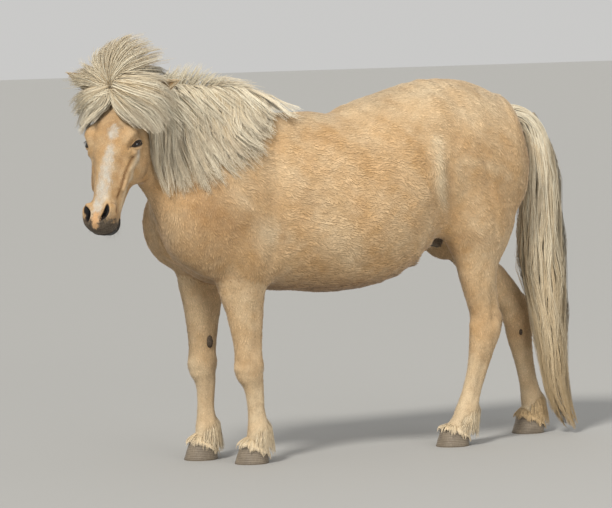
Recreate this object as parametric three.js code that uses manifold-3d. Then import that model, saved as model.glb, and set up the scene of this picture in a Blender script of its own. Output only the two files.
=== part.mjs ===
// A Shetland pony standing with its head turned to its left, life size.
// Millimetres, +Z up. The pony faces -Y, its left side is +X, and it stands on z = 0.
import * as THREE from 'three';
import { mergeVertices } from 'three/addons/utils/BufferGeometryUtils.js';
import Module from 'manifold-3d';

const wasm = await Module();
wasm.setup();

// Driving dimensions
const WITHERS = 975; // height of the withers
const CROUP = 1056; // height of the croup, higher than the withers in a young pony
const BELLY = 462; // lowest point of the barrel
const BARREL = 238; // half the width of the barrel
const HEAD_TURN = 41; // degrees that the face turns to the pony's left
const HEAD_NOD = 20; // degrees that the face leans forward of upright
const EAR_LENGTH = 112;
const EYE_RADIUS = 17;
const HOOF_HEIGHT = 50;
const GAP = 0.3; // clear space kept between touching nodes
const SEED = 7; // for the spread of the locks

// Vectors, numbers and the random draw
const V = (x, y, z) => new THREE.Vector3(x, y, z);
const UP = V(0, 0, 1);
const FORWARD = V(0, -1, 0);
const mix = (a, b, t) => a + (b - a) * t;
const clamp = (x, low, high) => Math.min(Math.max(x, low), high);
const rad = (degrees) => (degrees * Math.PI) / 180;
const mirrored = (p, side) => V(p.x * side, p.y, p.z);

function smoothMin(a, b, blend) {
  const h = Math.max(blend - Math.abs(a - b), 0) / blend;
  return Math.min(a, b) - (h * h * blend) / 4;
}

function seeded(seed) {
  let state = seed * 2654435761;
  return (low, high) => {
    state = (Math.imul(state ^ (state >>> 15), 2246822519) + 3266489917) >>> 0;
    return low + (high - low) * (state / 4294967296);
  };
}

// Forms. Each is a function of a point that is negative inside the flesh and about the distance outside it.
const STRAIGHT = [V(1, 0, 0), V(0, 1, 0), V(0, 0, 1)];

function muscle(centre, radii, axes = STRAIGHT) {
  const [rx, ry, rz] = radii;
  return (p) => {
    const d = p.clone().sub(centre);
    const [x, y, z] = axes.map((axis) => d.dot(axis));
    const far = Math.hypot(x / rx, y / ry, z / rz);
    const steep = Math.hypot(x / rx ** 2, y / ry ** 2, z / rz ** 2);
    return steep < 1e-9 ? -Math.min(...radii) : (far * (far - 1)) / steep;
  };
}

// A tube follows a curve through its stations. A station has a place and the reach to the side, up and down.
const TUBE_SAMPLES = 44;

function tube(stations, upHint, { cap, power = 2 }) {
  const path = new THREE.CatmullRomCurve3(stations.map((s) => s.at), false, 'catmullrom', 0.5);
  const sizes = new THREE.CatmullRomCurve3(
    stations.map((s) => V(s.side, s.up, s.down)), false, 'catmullrom', 0.5);
  const frameAt = (t) => {
    const along = path.getTangent(t);
    const up = upHint.clone().addScaledVector(along, -along.dot(upHint)).normalize();
    const [side, upReach, down] = sizes.getPoint(t).toArray();
    return {
      at: path.getPoint(t), along, up, across: along.clone().cross(up), side, upReach, down,
    };
  };
  const frames = Array.from({ length: TUBE_SAMPLES + 1 }, (_, i) => frameAt(i / TUBE_SAMPLES));
  const nearest = (p) => {
    let best = 0;
    for (let i = 1; i <= TUBE_SAMPLES; i++)
      if (frames[i].at.distanceToSquared(p) < frames[best].at.distanceToSquared(p)) best = i;
    const along = p.clone().sub(frames[best].at).dot(frames[best].along);
    const next = clamp(best + Math.sign(along), 0, TUBE_SAMPLES);
    const step = frames[next].at.distanceTo(frames[best].at);
    const share = step < 1e-9 ? 0 : clamp(Math.abs(along) / step, 0, 1);
    return { a: frames[best], b: frames[next], share };
  };
  const form = (p) => {
    const { a, b, share } = nearest(p);
    const d = p.clone().sub(a.at.clone().lerp(b.at, share));
    const side = mix(a.side, b.side, share);
    const upReach = mix(a.upReach, b.upReach, share);
    const down = mix(a.down, b.down, share);
    const x = Math.abs(d.dot(a.across.clone().lerp(b.across, share))) / side;
    const high = d.dot(a.up.clone().lerp(b.up, share));
    const y = high > 0 ? high / upReach : -high / down;
    const z = Math.abs(d.dot(a.along)) / cap;
    const round = (x ** power + y ** power) ** (1 / power);
    const far = share === 0 ? Math.hypot(round, z) : round;
    const length = d.length();
    return far < 1e-6 ? -Math.min(side, upReach, down) : length - length / far;
  };
  return { form, frameAt };
}

const blended = (forms, blend) => (p) =>
  forms.reduce((least, form) => smoothMin(least, form(p), blend), 1e6);

// Moves a point out of a form until it is clear of it
function pushOut(p, form, clearance) {
  for (let i = 0; i < 6; i++) {
    const short = clearance - form(p);
    if (short <= 0) break;
    p.addScaledVector(normalOf(p, form), Math.min(short, 60) + 0.3);
  }
  return p;
}

// Lays a point on a form at a clearance
function layOn(p, form, clearance) {
  for (let i = 0; i < 5; i++) p.addScaledVector(normalOf(p, form), clamp(clearance - form(p), -25, 60));
  return p;
}

function normalOf(p, form) {
  const beside = (axis, step) => form(p.clone().addScaledVector(axis, step));
  return V(...STRAIGHT.map((axis) => beside(axis, 1.5) - beside(axis, -1.5))).normalize();
}

// Solids from rings of points
function solidOf(points, faces) {
  const geometry = new THREE.BufferGeometry();
  const numbers = points.flatMap((p) => p.toArray());
  geometry.setAttribute('position', new THREE.Float32BufferAttribute(numbers, 3));
  geometry.setIndex(faces);
  return asSolid(geometry);
}

function asSolid(geometry) {
  const bare = new THREE.BufferGeometry().setAttribute('position', geometry.getAttribute('position'));
  bare.setIndex(geometry.index);
  const merged = mergeVertices(bare, 1e-4);
  const build = (indices) => new wasm.Manifold(new wasm.Mesh({
    numProp: 3,
    vertProperties: new Float32Array(merged.attributes.position.array),
    triVerts: new Uint32Array(indices),
  }));
  const indices = Array.from(merged.index.array);
  const solid = build(indices);
  return solid.volume() > 0 ? solid : build(indices.reverse());
}

// Joins rings of equal length into one closed body, with a point or a flat face at each end.
function loft(rings, firstPoint = null, lastPoint = null) {
  const sides = rings[0].length;
  const points = rings.flat();
  const faces = [];
  for (let r = 0; r + 1 < rings.length; r++)
    for (let k = 0; k < sides; k++) {
      const a = r * sides + k;
      const b = r * sides + ((k + 1) % sides);
      faces.push(a, b, b + sides, a, b + sides, a + sides);
    }
  const close = (ring, point, flip) => {
    points.push(point ?? ring.points.reduce((sum, p) => sum.add(p), V(0, 0, 0)).divideScalar(sides));
    const middle = points.length - 1;
    for (let k = 0; k < sides; k++) {
      const a = ring.start + k;
      const b = ring.start + ((k + 1) % sides);
      faces.push(...(flip ? [b, a, middle] : [a, b, middle]));
    }
  };
  close({ points: rings[0], start: 0 }, firstPoint, true);
  close({ points: rings.at(-1), start: (rings.length - 1) * sides }, lastPoint, false);
  return solidOf(points, faces);
}

// How far the flesh reaches from an inner point in one direction
function reach(form, from, direction, most = 700) {
  let near = 0;
  let r = 1;
  while (r < most) {
    const f = form(from.clone().addScaledVector(direction, r));
    if (f > 0) break;
    near = r;
    r += Math.max(-f * 0.6, 2.5);
  }
  let far = r;
  for (let i = 0; i < 12; i++) {
    const middle = (near + far) / 2;
    if (form(from.clone().addScaledVector(direction, middle)) > 0) far = middle;
    else near = middle;
  }
  return near;
}

// Wraps a form in parallel rings of points cast from a spine, with a fan of rings over each end.
function wrap(form, frameAt, options) {
  const { axis, upHint = UP, from = 0, to = 1, rings, sides, endRings = 3, grow = 0 } = options;
  const along = axis.clone().normalize();
  const up = upHint.clone().addScaledVector(along, -along.dot(upHint)).normalize();
  const across = along.clone().cross(up);
  const level = (t) => ({ at: frameAt(t).at, along, up, across });
  const out = (origin, direction) =>
    origin.clone().addScaledVector(direction, reach(form, origin, direction) + grow);
  const ring = (frame, tilt) =>
    Array.from({ length: sides }, (_, k) => {
      const turn = (2 * Math.PI * (k + 0.5)) / sides;
      const flat = frame.up.clone().multiplyScalar(Math.cos(turn))
        .addScaledVector(frame.across, Math.sin(turn));
      const direction = flat.multiplyScalar(Math.cos(tilt)).addScaledVector(frame.along, Math.sin(tilt));
      return out(frame.at, direction.normalize());
    });
  const first = level(from);
  const last = level(to);
  const tilts = Array.from({ length: endRings }, (_, i) => (rad(90) * (i + 1)) / (endRings + 1));
  return loft(
    [
      ...[...tilts].reverse().map((tilt) => ring(first, -tilt)),
      ...Array.from({ length: rings + 1 }, (_, i) => ring(level(mix(from, to, i / rings)), 0)),
      ...tilts.map((tilt) => ring(last, tilt)),
    ],
    out(first.at, first.along.clone().negate()),
    out(last.at, last.along),
  );
}

const largest = (solid) =>
  solid.decompose().reduce((best, body) => (body.volume() > best.volume() ? body : best));

// Keeps the part of a solid on the side of a plane that the normal points to.
const BLOCK = 4000;

function keepAbove(solid, point, normal, gap = 0) {
  const block = new THREE.BoxGeometry(BLOCK, BLOCK, BLOCK);
  block.translate(0, 0, gap - BLOCK / 2);
  block.applyQuaternion(new THREE.Quaternion().setFromUnitVectors(UP, normal.clone().normalize()));
  block.translate(point.x, point.y, point.z);
  return solid.subtract(asSolid(block));
}

// An ellipsoid with its own axes
function ovoid(centre, radii, axes, sides = 16, rows = 10) {
  const ball = new THREE.SphereGeometry(1, sides, rows);
  const scaled = axes.map((axis, i) => axis.clone().multiplyScalar(radii[i]));
  return asSolid(ball.applyMatrix4(new THREE.Matrix4().makeBasis(...scaled).setPosition(centre)));
}

// Trunk: the torso and neck share one blended form and are parted by a plane in front of the shoulder.
const station = (x, y, top, bottom, side, middle = 0.46) => {
  const z = mix(bottom, top, middle);
  return { at: V(x, y, z), side, up: top - z, down: z - bottom };
};

const torsoTube = tube([
  station(0, -440, 900, 560, 120),
  station(0, -350, 950, 500, 165),
  station(0, -235, WITHERS, 482, 196),
  station(0, -120, WITHERS - 3, 471, 220),
  station(0, 0, WITHERS + 3, BELLY, BARREL - 2),
  station(0, 110, WITHERS + 22, 488, BARREL),
  station(0, 215, CROUP - 20, 616, 222),
  station(0, 320, CROUP + 4, 690, 196),
  station(0, 420, CROUP - 2, 690, 182),
  station(0, 510, CROUP - 38, 710, 160),
], UP, { cap: 84, power: 2.15 });

const bothSides = (centre, radii, axes) =>
  [1, -1].map((side) =>
    muscle(mirrored(centre, side), radii, axes && axes.map((axis) => mirrored(axis, side))));

// Axes of a form that lies in the side view at a slope: across, along the slope, and square to it
const sloped = (degrees) => {
  const along = V(0, Math.cos(rad(degrees)), Math.sin(rad(degrees)));
  return [V(1, 0, 0), along, along.clone().cross(V(1, 0, 0)).negate()];
};

const chestForms = [
  ...bothSides(V(88, -440, 672), [78, 92, 118]), // pectorals and point of the shoulder
  ...bothSides(V(102, -345, 720), [92, 120, 200], sloped(-18)), // shoulder blade and upper arm
  ...bothSides(V(108, -285, 600), [70, 92, 95]), // triceps above the elbow
];
const rumpForms = [
  ...bothSides(V(98, 372, 800), [96, 165, 215], sloped(8)), // thigh
  ...bothSides(V(100, 415, 650), [78, 92, 125]), // stifle and top of the gaskin
  ...bothSides(V(82, 510, 800), [76, 84, 140], sloped(10)), // buttock
  ...bothSides(V(112, 272, 940), [66, 80, 64]), // hip point
];
const sheath = muscle(V(0, 296, 630), [26, 62, 32], sloped(20));

const neckTube = tube([
  { at: V(0, -290, 800), side: 142, up: 206, down: 250 },
  { at: V(8, -400, 850), side: 102, up: 214, down: 218 },
  { at: V(24, -500, 903), side: 74, up: 172, down: 152 },
  { at: V(36, -572, 948), side: 66, up: 126, down: 112 },
  { at: V(48, -622, 970), side: 58, up: 86, down: 92 },
], UP, { cap: 50 });

const torsoForm = blended([torsoTube.form, ...chestForms, ...rumpForms, sheath], 46);
const trunkForm = (p) => smoothMin(torsoForm(p), neckTube.form(p), 60);

const neckCut = { point: V(0, -176, WITHERS), normal: V(0, -0.72, 0.69) };

function torsoSolid(grow = 0) {
  const whole = wrap(trunkForm, torsoTube.frameAt, {
    axis: V(0, 1, 0), from: 0.06, rings: 21, sides: 30, endRings: 3, grow,
  });
  return keepAbove(whole, neckCut.point, neckCut.normal.clone().negate(), GAP / 2 - grow);
}

// Head: its own frame runs down the face, out of the face and to the head's left.
const facing = V(Math.sin(rad(HEAD_TURN)), -Math.cos(rad(HEAD_TURN)), 0);
const [nodSin, nodCos] = [Math.sin(rad(HEAD_NOD)), Math.cos(rad(HEAD_NOD))];
const faceDown = facing.clone().multiplyScalar(nodSin).addScaledVector(UP, -nodCos);
const faceOut = facing.clone().multiplyScalar(nodCos).addScaledVector(UP, nodSin);
const headLeft = V(-facing.y, facing.x, 0);
const POLL = V(58, -646, 1052);
const HEAD_AXES = [faceDown, faceOut, headLeft];
const onHead = (...amounts) =>
  HEAD_AXES.reduce((p, axis, i) => p.addScaledVector(axis, amounts[i]), POLL.clone());

const faceStation = (down, top, bottom, side) => {
  const out = mix(bottom, top, 0.5);
  return { at: onHead(down, out, 0), side, up: top - out, down: out - bottom };
};
const faceTube = tube([
  faceStation(14, -4, -100, 50),
  faceStation(70, 28, -124, 64),
  faceStation(130, 40, -134, 68),
  faceStation(190, 37, -124, 58),
  faceStation(245, 31, -100, 42),
  faceStation(300, 26, -80, 36),
  faceStation(350, 23, -64, 38),
], faceOut, { cap: 40, power: 2.3 });

const onBothSidesOfHead = (down, out, left, radii) =>
  [1, -1].map((side) => muscle(onHead(down, out, left * side), radii, HEAD_AXES));

const EYE = { down: 153, out: -7, left: 64 };
const headForms = [
  ...onBothSidesOfHead(150, -8, 60, [36, 28, 21]), // eye socket
  ...onBothSidesOfHead(124, 8, 56, [28, 18, 24]), // brow
  ...onBothSidesOfHead(160, -80, 43, [76, 64, 28]), // cheek
  ...onBothSidesOfHead(222, -18, 44, [60, 15, 14]), // crest of the cheekbone
  ...onBothSidesOfHead(352, 6, 34, [34, 24, 17]), // wing of the nostril
  muscle(onHead(378, -14, 0), [26, 34, 38], HEAD_AXES), // upper lip
  muscle(onHead(364, -58, 0), [28, 20, 27], HEAD_AXES), // chin and lower lip
];
const headForm = blended([faceTube.form, ...headForms], 22);

// Ears
function earAxes(side) {
  const [down, out] = EARS[side].lean;
  const along = headLeft.clone().multiplyScalar(0.87 * side)
    .addScaledVector(faceDown, down).addScaledVector(faceOut, out).normalize();
  const open = faceOut.clone().addScaledVector(faceDown, 0.35);
  open.addScaledVector(along, -open.dot(along)).normalize();
  return { along, open, across: along.clone().cross(open) };
}
const EARS = {
  1: { root: onHead(6, -26, 36), lean: [-0.34, -0.34] }, // back and up
  [-1]: { root: onHead(-2, -8, -50), lean: [-0.42, 0.22] }, // forward and up
};
const earRoot = (side) => EARS[side].root.clone();

function earShell(side, scale, shift, extra = 0) {
  const { along, open, across } = earAxes(side);
  const sides = 12;
  const widths = [[-0.12, 16], [0.08, 22], [0.28, 27], [0.5, 24], [0.7, 17], [0.87, 9]];
  const rings = widths.map(([share, half]) =>
    Array.from({ length: sides }, (_, k) => {
      const turn = (2 * Math.PI * k) / sides;
      return earRoot(side).addScaledVector(along, EAR_LENGTH * share)
        .addScaledVector(across, half * scale * Math.cos(turn))
        .addScaledVector(open, half * 0.8 * scale * Math.sin(turn) + shift);
    }));
  const end = (share) =>
    earRoot(side).addScaledVector(along, EAR_LENGTH * share).addScaledVector(open, shift);
  return loft(rings, end(-0.16 - extra), end(1 + extra));
}

const earForm = (side) => {
  const { along, open, across } = earAxes(side);
  const middle = earRoot(side).addScaledVector(along, EAR_LENGTH * 0.42);
  return muscle(middle, [EAR_LENGTH * 0.66, 27, 30], [along, open, across]);
};

// Legs
const limb = (rows) =>
  tube(rows.map(([x, y, z, side, front, back]) => ({ at: V(x, y, z), side, up: front, down: back })),
    FORWARD, { cap: 20, power: 2.1 });

// A foreleg hangs from the elbow to the knee, cannon, fetlock, pastern and hoof.
function foreLimb(side, elbowY, kneeY, fetlockY, hoofY, hoofX) {
  const x = (share) => side * mix(hoofX, 98, share);
  return limb([
    [x(1), elbowY + 14, 612, 46, 62, 60],
    [x(1), elbowY, 520, 52, 76, 72],
    [x(0.9), mix(elbowY, kneeY, 0.4), 428, 42, 57, 55],
    [x(0.75), mix(elbowY, kneeY, 0.8), 330, 34, 43, 42],
    [x(0.65), kneeY, 262, 35, 44, 40],
    [x(0.5), mix(kneeY, fetlockY, 0.3) + 3, 212, 26, 29, 33],
    [x(0.35), mix(kneeY, fetlockY, 0.7), 150, 23, 25, 29],
    [x(0.2), fetlockY, 92, 30, 33, 33],
    [x(0.1), mix(fetlockY, hoofY, 0.5), 62, 29, 31, 33],
    [x(0), hoofY + 4, 34, 37, 41, 37],
    [x(0), hoofY, 12, 40, 44, 38],
  ]);
}

// A hind leg runs from the stifle back to the hock, then down the cannon to the hoof.
// The share of thigh behind the bone is smaller in the leg that is set back.
function hindLimb(side, stifleY, hockY, fetlockY, hoofY, hoofX, thigh) {
  const x = (share) => side * mix(hoofX, 98, share);
  return limb([
    [x(1), stifleY, 690, 62, 90, 130 * thigh],
    [x(1), mix(stifleY, hockY, 0.04), 625, 62, 80, 128 * thigh],
    [x(1), mix(stifleY, hockY, 0.12), 560, 58, 68, 98 * thigh],
    [x(1), mix(stifleY, hockY, 0.25), 515, 53, 60, 68 * thigh],
    [x(0.95), mix(stifleY, hockY, 0.45), 468, 47, 53, 55],
    [x(0.9), mix(stifleY, hockY, 0.82), 392, 38, 42, 54],
    [x(0.85), hockY, 338, 37, 46, 56],
    [x(0.78), mix(hockY, fetlockY, 0.14), 284, 33, 40, 42],
    [x(0.6), mix(hockY, fetlockY, 0.4), 220, 27, 31, 34],
    [x(0.4), mix(hockY, fetlockY, 0.72), 155, 25, 29, 31],
    [x(0.2), fetlockY, 96, 31, 35, 35],
    [x(0.1), mix(fetlockY, hoofY, 0.5), 62, 29, 32, 34],
    [x(0), hoofY + 4, 34, 37, 42, 37],
    [x(0), hoofY, 12, 40, 44, 38],
  ]);
}

const LEGS = [
  { name: 'fore_left', fetlockY: -270, side: 1, hoofX: 80, hoofY: -284, joint: 236, upper: 'forearm',
    limb: foreLimb(1, -312, -294, -270, -284, 80) },
  { name: 'fore_right', fetlockY: -360, side: -1, hoofX: 80, hoofY: -374, joint: 236, upper: 'forearm',
    limb: foreLimb(-1, -352, -362, -360, -374, 80) },
  { name: 'hind_left', fetlockY: 384, side: 1, hoofX: 76, hoofY: 346, joint: 284, upper: 'gaskin',
    limb: hindLimb(1, 412, 440, 384, 346, 76, 1) },
  { name: 'hind_right', fetlockY: 676, side: -1, hoofX: 62, hoofY: 664, joint: 284, upper: 'gaskin',
    limb: hindLimb(-1, 474, 646, 676, 664, 62, 0.46) },
];

// The top of the hoof slopes down from the toe to the heel.
const HOOF_SLOPE = V(0, 0.36, 1).normalize();
const hoofTop = (leg) => V(leg.side * leg.hoofX, leg.hoofY, HOOF_HEIGHT - 8);

function hoofSolid(leg, grow = 0) {
  const sides = 18;
  const ring = (z, half, front, back, shift) =>
    Array.from({ length: sides }, (_, k) => {
      const turn = (2 * Math.PI * k) / sides;
      const y = Math.cos(turn);
      const length = (y > 0 ? front : back) + grow;
      return V(leg.side * leg.hoofX + (half + grow) * Math.sin(turn), leg.hoofY + shift - length * y, z);
    });
  const block = loft([
    ring(-grow, 46, 56, 42, 0),
    ring(HOOF_HEIGHT * 0.5, 43, 49, 40, 2),
    ring(HOOF_HEIGHT * 1.5, 37, 35, 36, 7),
  ]);
  return keepAbove(block, hoofTop(leg), HOOF_SLOPE.clone().negate(), GAP / 2 - grow);
}

// Locks are flat and tapered. They lie along a path of points, and their width lies across it.
// Without a given direction the width lies level with the form below the middle of the lock.
function lockSolid(path, width, thickness, { wide, form, rings = 5 }) {
  const curve = new THREE.CatmullRomCurve3(path);
  const level = wide ?? curve.getTangent(0.5).cross(normalOf(curve.getPoint(0.5), form));
  const shape = Array.from({ length: rings }, (_, i) => {
    const t = i / rings;
    const at = curve.getPoint(t);
    const along = curve.getTangent(t);
    const across = level.clone().addScaledVector(along, -level.dot(along)).normalize();
    const out = across.clone().cross(along).normalize();
    const full = Math.min(1, 0.4 + 2 * t) * (1 - 0.7 * Math.max(0, (t - 0.5) / 0.5) ** 1.4);
    const w = (width / 2) * full;
    const h = (thickness / 2) * (1 - 0.5 * t);
    return [
      at.clone().addScaledVector(across, w).addScaledVector(out, -h), at.clone().addScaledVector(out, h),
      at.clone().addScaledVector(across, -w).addScaledVector(out, -h),
    ];
  });
  return loft(shape, null, curve.getPoint(1));
}

// The path of a lock: it leaves its root one way, reaches its tip another way, and keeps clear of a form.
// A draped lock lies on the form instead.
function sweep(root, leave, tip, arrive, { form, clear, steps = 6, handle = 0.4, drape = false }) {
  const length = root.distanceTo(tip);
  const curve = new THREE.CubicBezierCurve3(
    root,
    root.clone().addScaledVector(leave.clone().normalize(), length * handle),
    tip.clone().addScaledVector(arrive.clone().normalize(), -length * 0.35),
    tip,
  );
  const path = curve.getPoints(steps).map((p, i) => {
    if (i === 0) return p;
    if (drape) p.lerp(layOn(p.clone(), form, clear), clamp((i - 1) / 3, 0, 1));
    return pushOut(p, form, clear * Math.min(1, 0.4 + i * 0.3));
  });
  const smooth = path.map((p, i) => {
    if (i === 0 || i === steps) return p;
    return p.clone().lerp(path[i - 1].clone().lerp(path[i + 1], 0.5), 0.5);
  });
  return smooth.map((p, i) => (i === 0 ? p : pushOut(p, form, clear * Math.min(1, 0.4 + i * 0.3))));
}

const flesh = (p) => Math.min(trunkForm(p), headForm(p));
const obstacle = (p) => Math.min(flesh(p), earForm(1)(p), earForm(-1)(p));

// Feather: locks around the back of the fetlock that fall over the heel
function featherLocks(leg) {
  const draw = seeded(SEED + leg.hoofY);
  return Array.from({ length: 6 }, (_, i) => {
    const turn = rad(mix(-105, 105, i / 5) + draw(-5, 5));
    const away = V(Math.sin(turn) * leg.side, Math.cos(turn), 0);
    const under = i % 2;
    const height = 122 - 22 * Math.abs(turn / rad(105)) - 10 * under;
    const root = V(leg.side * mix(leg.hoofX, 98, 0.2), leg.fetlockY, height).addScaledVector(away, 14);
    const tip = V(leg.side * leg.hoofX, mix(leg.fetlockY, leg.hoofY, 0.55), draw(10, 22) + 8 * under)
      .addScaledVector(away, 52 - 4 * under + 18 * Math.max(0, Math.cos(turn)));
    const path = sweep(root, away.clone().add(V(0, 0, -0.9)), tip, V(0, 0.2, -1),
      { form: leg.limb.form, clear: 12 - 8 * under, steps: 4 });
    return lockSolid(path, 42, 6.5, { wide: V(away.y, -away.x, 0), rings: 4 });
  });
}

// Assembly
const MATERIALS = {
  coat: new THREE.MeshStandardMaterial({ color: 0xc99d68, roughness: 0.85, metalness: 0 }),
  hair: new THREE.MeshStandardMaterial({ color: 0xdcd3ba, roughness: 0.7, metalness: 0 }),
  horn: new THREE.MeshStandardMaterial({ color: 0x6b5d50, roughness: 0.55, metalness: 0 }),
  eye: new THREE.MeshStandardMaterial({ color: 0x17100c, roughness: 0.1, metalness: 0 }),
};

// Eyes: a ball in its socket, with lids that open like a wedge from corner to corner
const LID = 3;
const UPPER_LID = 21; // degrees that each lid is open
const LOWER_LID = 17;

function eyeAxes(side) {
  const out = headLeft.clone().multiplyScalar(0.86 * side).addScaledVector(faceOut, 0.48)
    .addScaledVector(faceDown, 0.02).normalize();
  const corner = faceDown.clone().multiplyScalar(0.5).addScaledVector(faceOut, 0.85);
  corner.addScaledVector(out, -out.dot(corner)).normalize();
  const brow = out.clone().cross(corner).multiplyScalar(-side).normalize();
  return { out, corner, brow };
}
const eyeCentre = (side) => onHead(EYE.down, EYE.out, EYE.left * side);
const eyeBall = (side, radius, sides = 14, rows = 8) =>
  ovoid(eyeCentre(side), [radius, radius, radius], STRAIGHT, sides, rows);

// Adds the lids to a head, and cuts the slit between them
function withLids(skull, side) {
  const { out, corner, brow } = eyeAxes(side);
  const centre = eyeCentre(side);
  const edge = (degrees) => brow.clone().multiplyScalar(Math.cos(rad(degrees)))
    .addScaledVector(out, -Math.sin(rad(degrees)));
  const slit = ovoid(centre.clone().addScaledVector(out, 14), [19, 23, 20], [corner, out, brow], 12, 8);
  const open = keepAbove(keepAbove(slit, centre, edge(UPPER_LID).negate()), centre, edge(-LOWER_LID));
  return skull.add(eyeBall(side, EYE_RADIUS + LID, 14, 8)).subtract(open);
}

// The nostril is a long opening that slants in towards the lips.
const nostril = (side) => {
  const axes = [
    faceDown.clone().addScaledVector(headLeft, -0.34 * side).normalize(),
    faceOut.clone().addScaledVector(headLeft, 0.42 * side).normalize(),
  ];
  axes.push(axes[0].clone().cross(axes[1]).normalize());
  axes[1] = axes[2].clone().cross(axes[0]).normalize();
  return ovoid(onHead(354, 24, 27 * side), [24, 17, 8], axes, 12, 6);
};
const mouth = ovoid(onHead(374, -42, 0), [34, 1.7, 40], HEAD_AXES, 20, 6);

const pony = new THREE.Group();

function addNode(name, solid, material) {
  const mesh = solid.getMesh();
  const points = new Float32Array(mesh.numVert * 3);
  for (let i = 0; i < mesh.numVert; i++)
    points.set(mesh.vertProperties.subarray(i * mesh.numProp, i * mesh.numProp + 3), i * 3);
  const geometry = new THREE.BufferGeometry();
  geometry.setAttribute('position', new THREE.BufferAttribute(points, 3));
  geometry.setIndex(new THREE.BufferAttribute(mesh.triVerts, 1));
  geometry.computeVertexNormals();
  const node = new THREE.Mesh(geometry, MATERIALS[material]);
  node.name = name;
  pony.add(node);
}

const torso = torsoSolid();
const torsoRoom = torsoSolid(2 * GAP);
addNode('torso', torso, 'coat');

const headSpread = { axis: faceDown, upHint: faceOut, from: 0.02, rings: 27, sides: 26, endRings: 3 };
const skull = wrap(headForm, faceTube.frameAt, headSpread);
const skullRoom = wrap(headForm, faceTube.frameAt, { ...headSpread, grow: 2 * GAP });
let head = skull;
for (const side of [1, -1])
  head = withLids(head, side).subtract(eyeBall(side, EYE_RADIUS + GAP)).subtract(nostril(side));
head = largest(head.subtract(mouth));

// Forelock: it springs from a whorl between the ears, over a dense core that ends before half of its height.
// Each lock has its tip in the frame of the head (down, out, left).
const WHORL = [-6, 12, -18];
const MOUND = { centre: onHead(-20, -2, 6), radii: [52, 24, 54] };
const mound = (p) => Math.min(muscle(MOUND.centre, MOUND.radii, HEAD_AXES)(p), obstacle(p));
const forelockCore = ovoid(MOUND.centre, MOUND.radii, HEAD_AXES, 12, 8);

// Every other lock lies lower and has its root further from the whorl.
function forelockLocks(rows, { leave, arrive, width }) {
  const draw = seeded(SEED + rows.length);
  return rows.map(([down, out, left], i) => {
    const under = i % 2;
    const tip = onHead(down, out + draw(-10, 10), left);
    const spread = V(down - WHORL[0], 0, left - WHORL[2]).normalize().multiplyScalar(14 + 18 * under);
    const root = layOn(onHead(WHORL[0] + spread.x, WHORL[1], WHORL[2] + spread.z), mound, -6);
    const fall = tip.clone().sub(root).normalize();
    const start = onHead(...leave).sub(POLL).normalize().add(fall.clone().multiplyScalar(1.2));
    const end = onHead(...arrive).sub(POLL).normalize().add(fall);
    const path = sweep(root, start, tip, end, { form: mound, clear: 13 - 9 * under });
    return lockSolid(path, width * draw(0.9, 1.12), 6.5, { form: mound });
  });
}

const forelock = [
  // blown up and over to the left
  ...forelockLocks(
    [[-84, 70, -50], [-118, 56, -22], [-150, 34, 14], [-170, 18, 48], [-156, -10, 80], [-134, -40, 108]],
    { leave: [-0.8, 1, -0.4], arrive: [-0.5, -0.4, 1], width: 38 }),
  ...forelockLocks([[-138, -16, 6], [-132, -30, 62], [-96, -50, 128]],
    { leave: [-1, 0.6, -0.3], arrive: [0, -0.5, 0.9], width: 36 }),
  // parted, to the right
  ...forelockLocks([[-50, 62, -104], [-16, 62, -124], [24, 60, -112], [66, 56, -90], [112, 46, -58]],
    { leave: [-0.4, 1, -0.2], arrive: [0.9, -0.5, -0.1], width: 44 }),
  // parted, to the left
  ...forelockLocks([[76, 38, 40], [102, 4, 84], [86, -34, 116], [34, -50, 136], [-30, -42, 134]],
    { leave: [-0.4, 1, 0.3], arrive: [0.9, -0.5, 0.1], width: 50 }),
];
const earRoom = [1, -1].map((side) => earShell(side, 1.05, 0, 0.02));
head = forelock.reduce((all, lock) => all.add(lock), head.add(forelockCore));
head = largest(earRoom.reduce((left, room) => left.subtract(room), head));
addNode('head', head, 'coat');
for (const [name, side] of [['left', 1], ['right', -1]])
  addNode('eye_' + name, eyeBall(side, EYE_RADIUS), 'eye');

const neckWhole = wrap(trunkForm, neckTube.frameAt, {
  axis: V(0.16, -0.88, 0.45), from: 0.12, to: 0.96, rings: 12, sides: 26, endRings: 2,
});
let neck = largest(keepAbove(neckWhole, neckCut.point, neckCut.normal, GAP / 2).subtract(skullRoom));

// Mane: layers of locks from the crest of the neck that fall on its left side, and wisps along the crest
const random = seeded(SEED + 1);
const crestAt = (y, side = 0, depth = 14) => {
  const from = V(mix(58, 0, clamp((y + 640) / 430, 0, 1)) + side, y, 940);
  return from.addScaledVector(UP, reach(trunkForm, from, UP) - depth);
};
const CREST = { poll: -614, withers: -188 };
const crestY = (share) => mix(CREST.poll, CREST.withers, share);

// Where the tips of the mane hang at each place along the crest
const maneTip = (share, shorter) => V(
  mix(126, 192, clamp(share * 1.5, 0, 1)) - 40 * clamp((share - 0.85) / 0.15, 0, 1),
  crestY(share) + mix(56, 14, share),
  736 + 182 * share ** 2.4 + shorter,
);

const maneLocks = [
  { count: 11, clear: 6, shorter: 0, width: 58, side: 10 },
  { count: 9, clear: 24, shorter: 46, width: 60, side: -4 },
].flatMap(({ count, clear, shorter, width, side }, layer) =>
  Array.from({ length: count }, (_, i) => {
    const share = clamp((i + 0.5 * layer) / (count - 1), 0.01, 1);
    const root = crestAt(crestY(share), side + 30 * clamp(1 - share / 0.24, 0, 1));
    const tip = maneTip(share, shorter + random(-24, 26));
    const path = sweep(root, V(0.7, 0.25, mix(1, 0.1, share ** 3)), tip, V(0.1, random(0.2, 0.6), -1),
      { form: flesh, clear: clear + 9 * (i % 2), handle: 0.3, drape: true });
    return lockSolid(path, width * random(0.92, 1.08), 7.5, { form: flesh });
  }));

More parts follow.
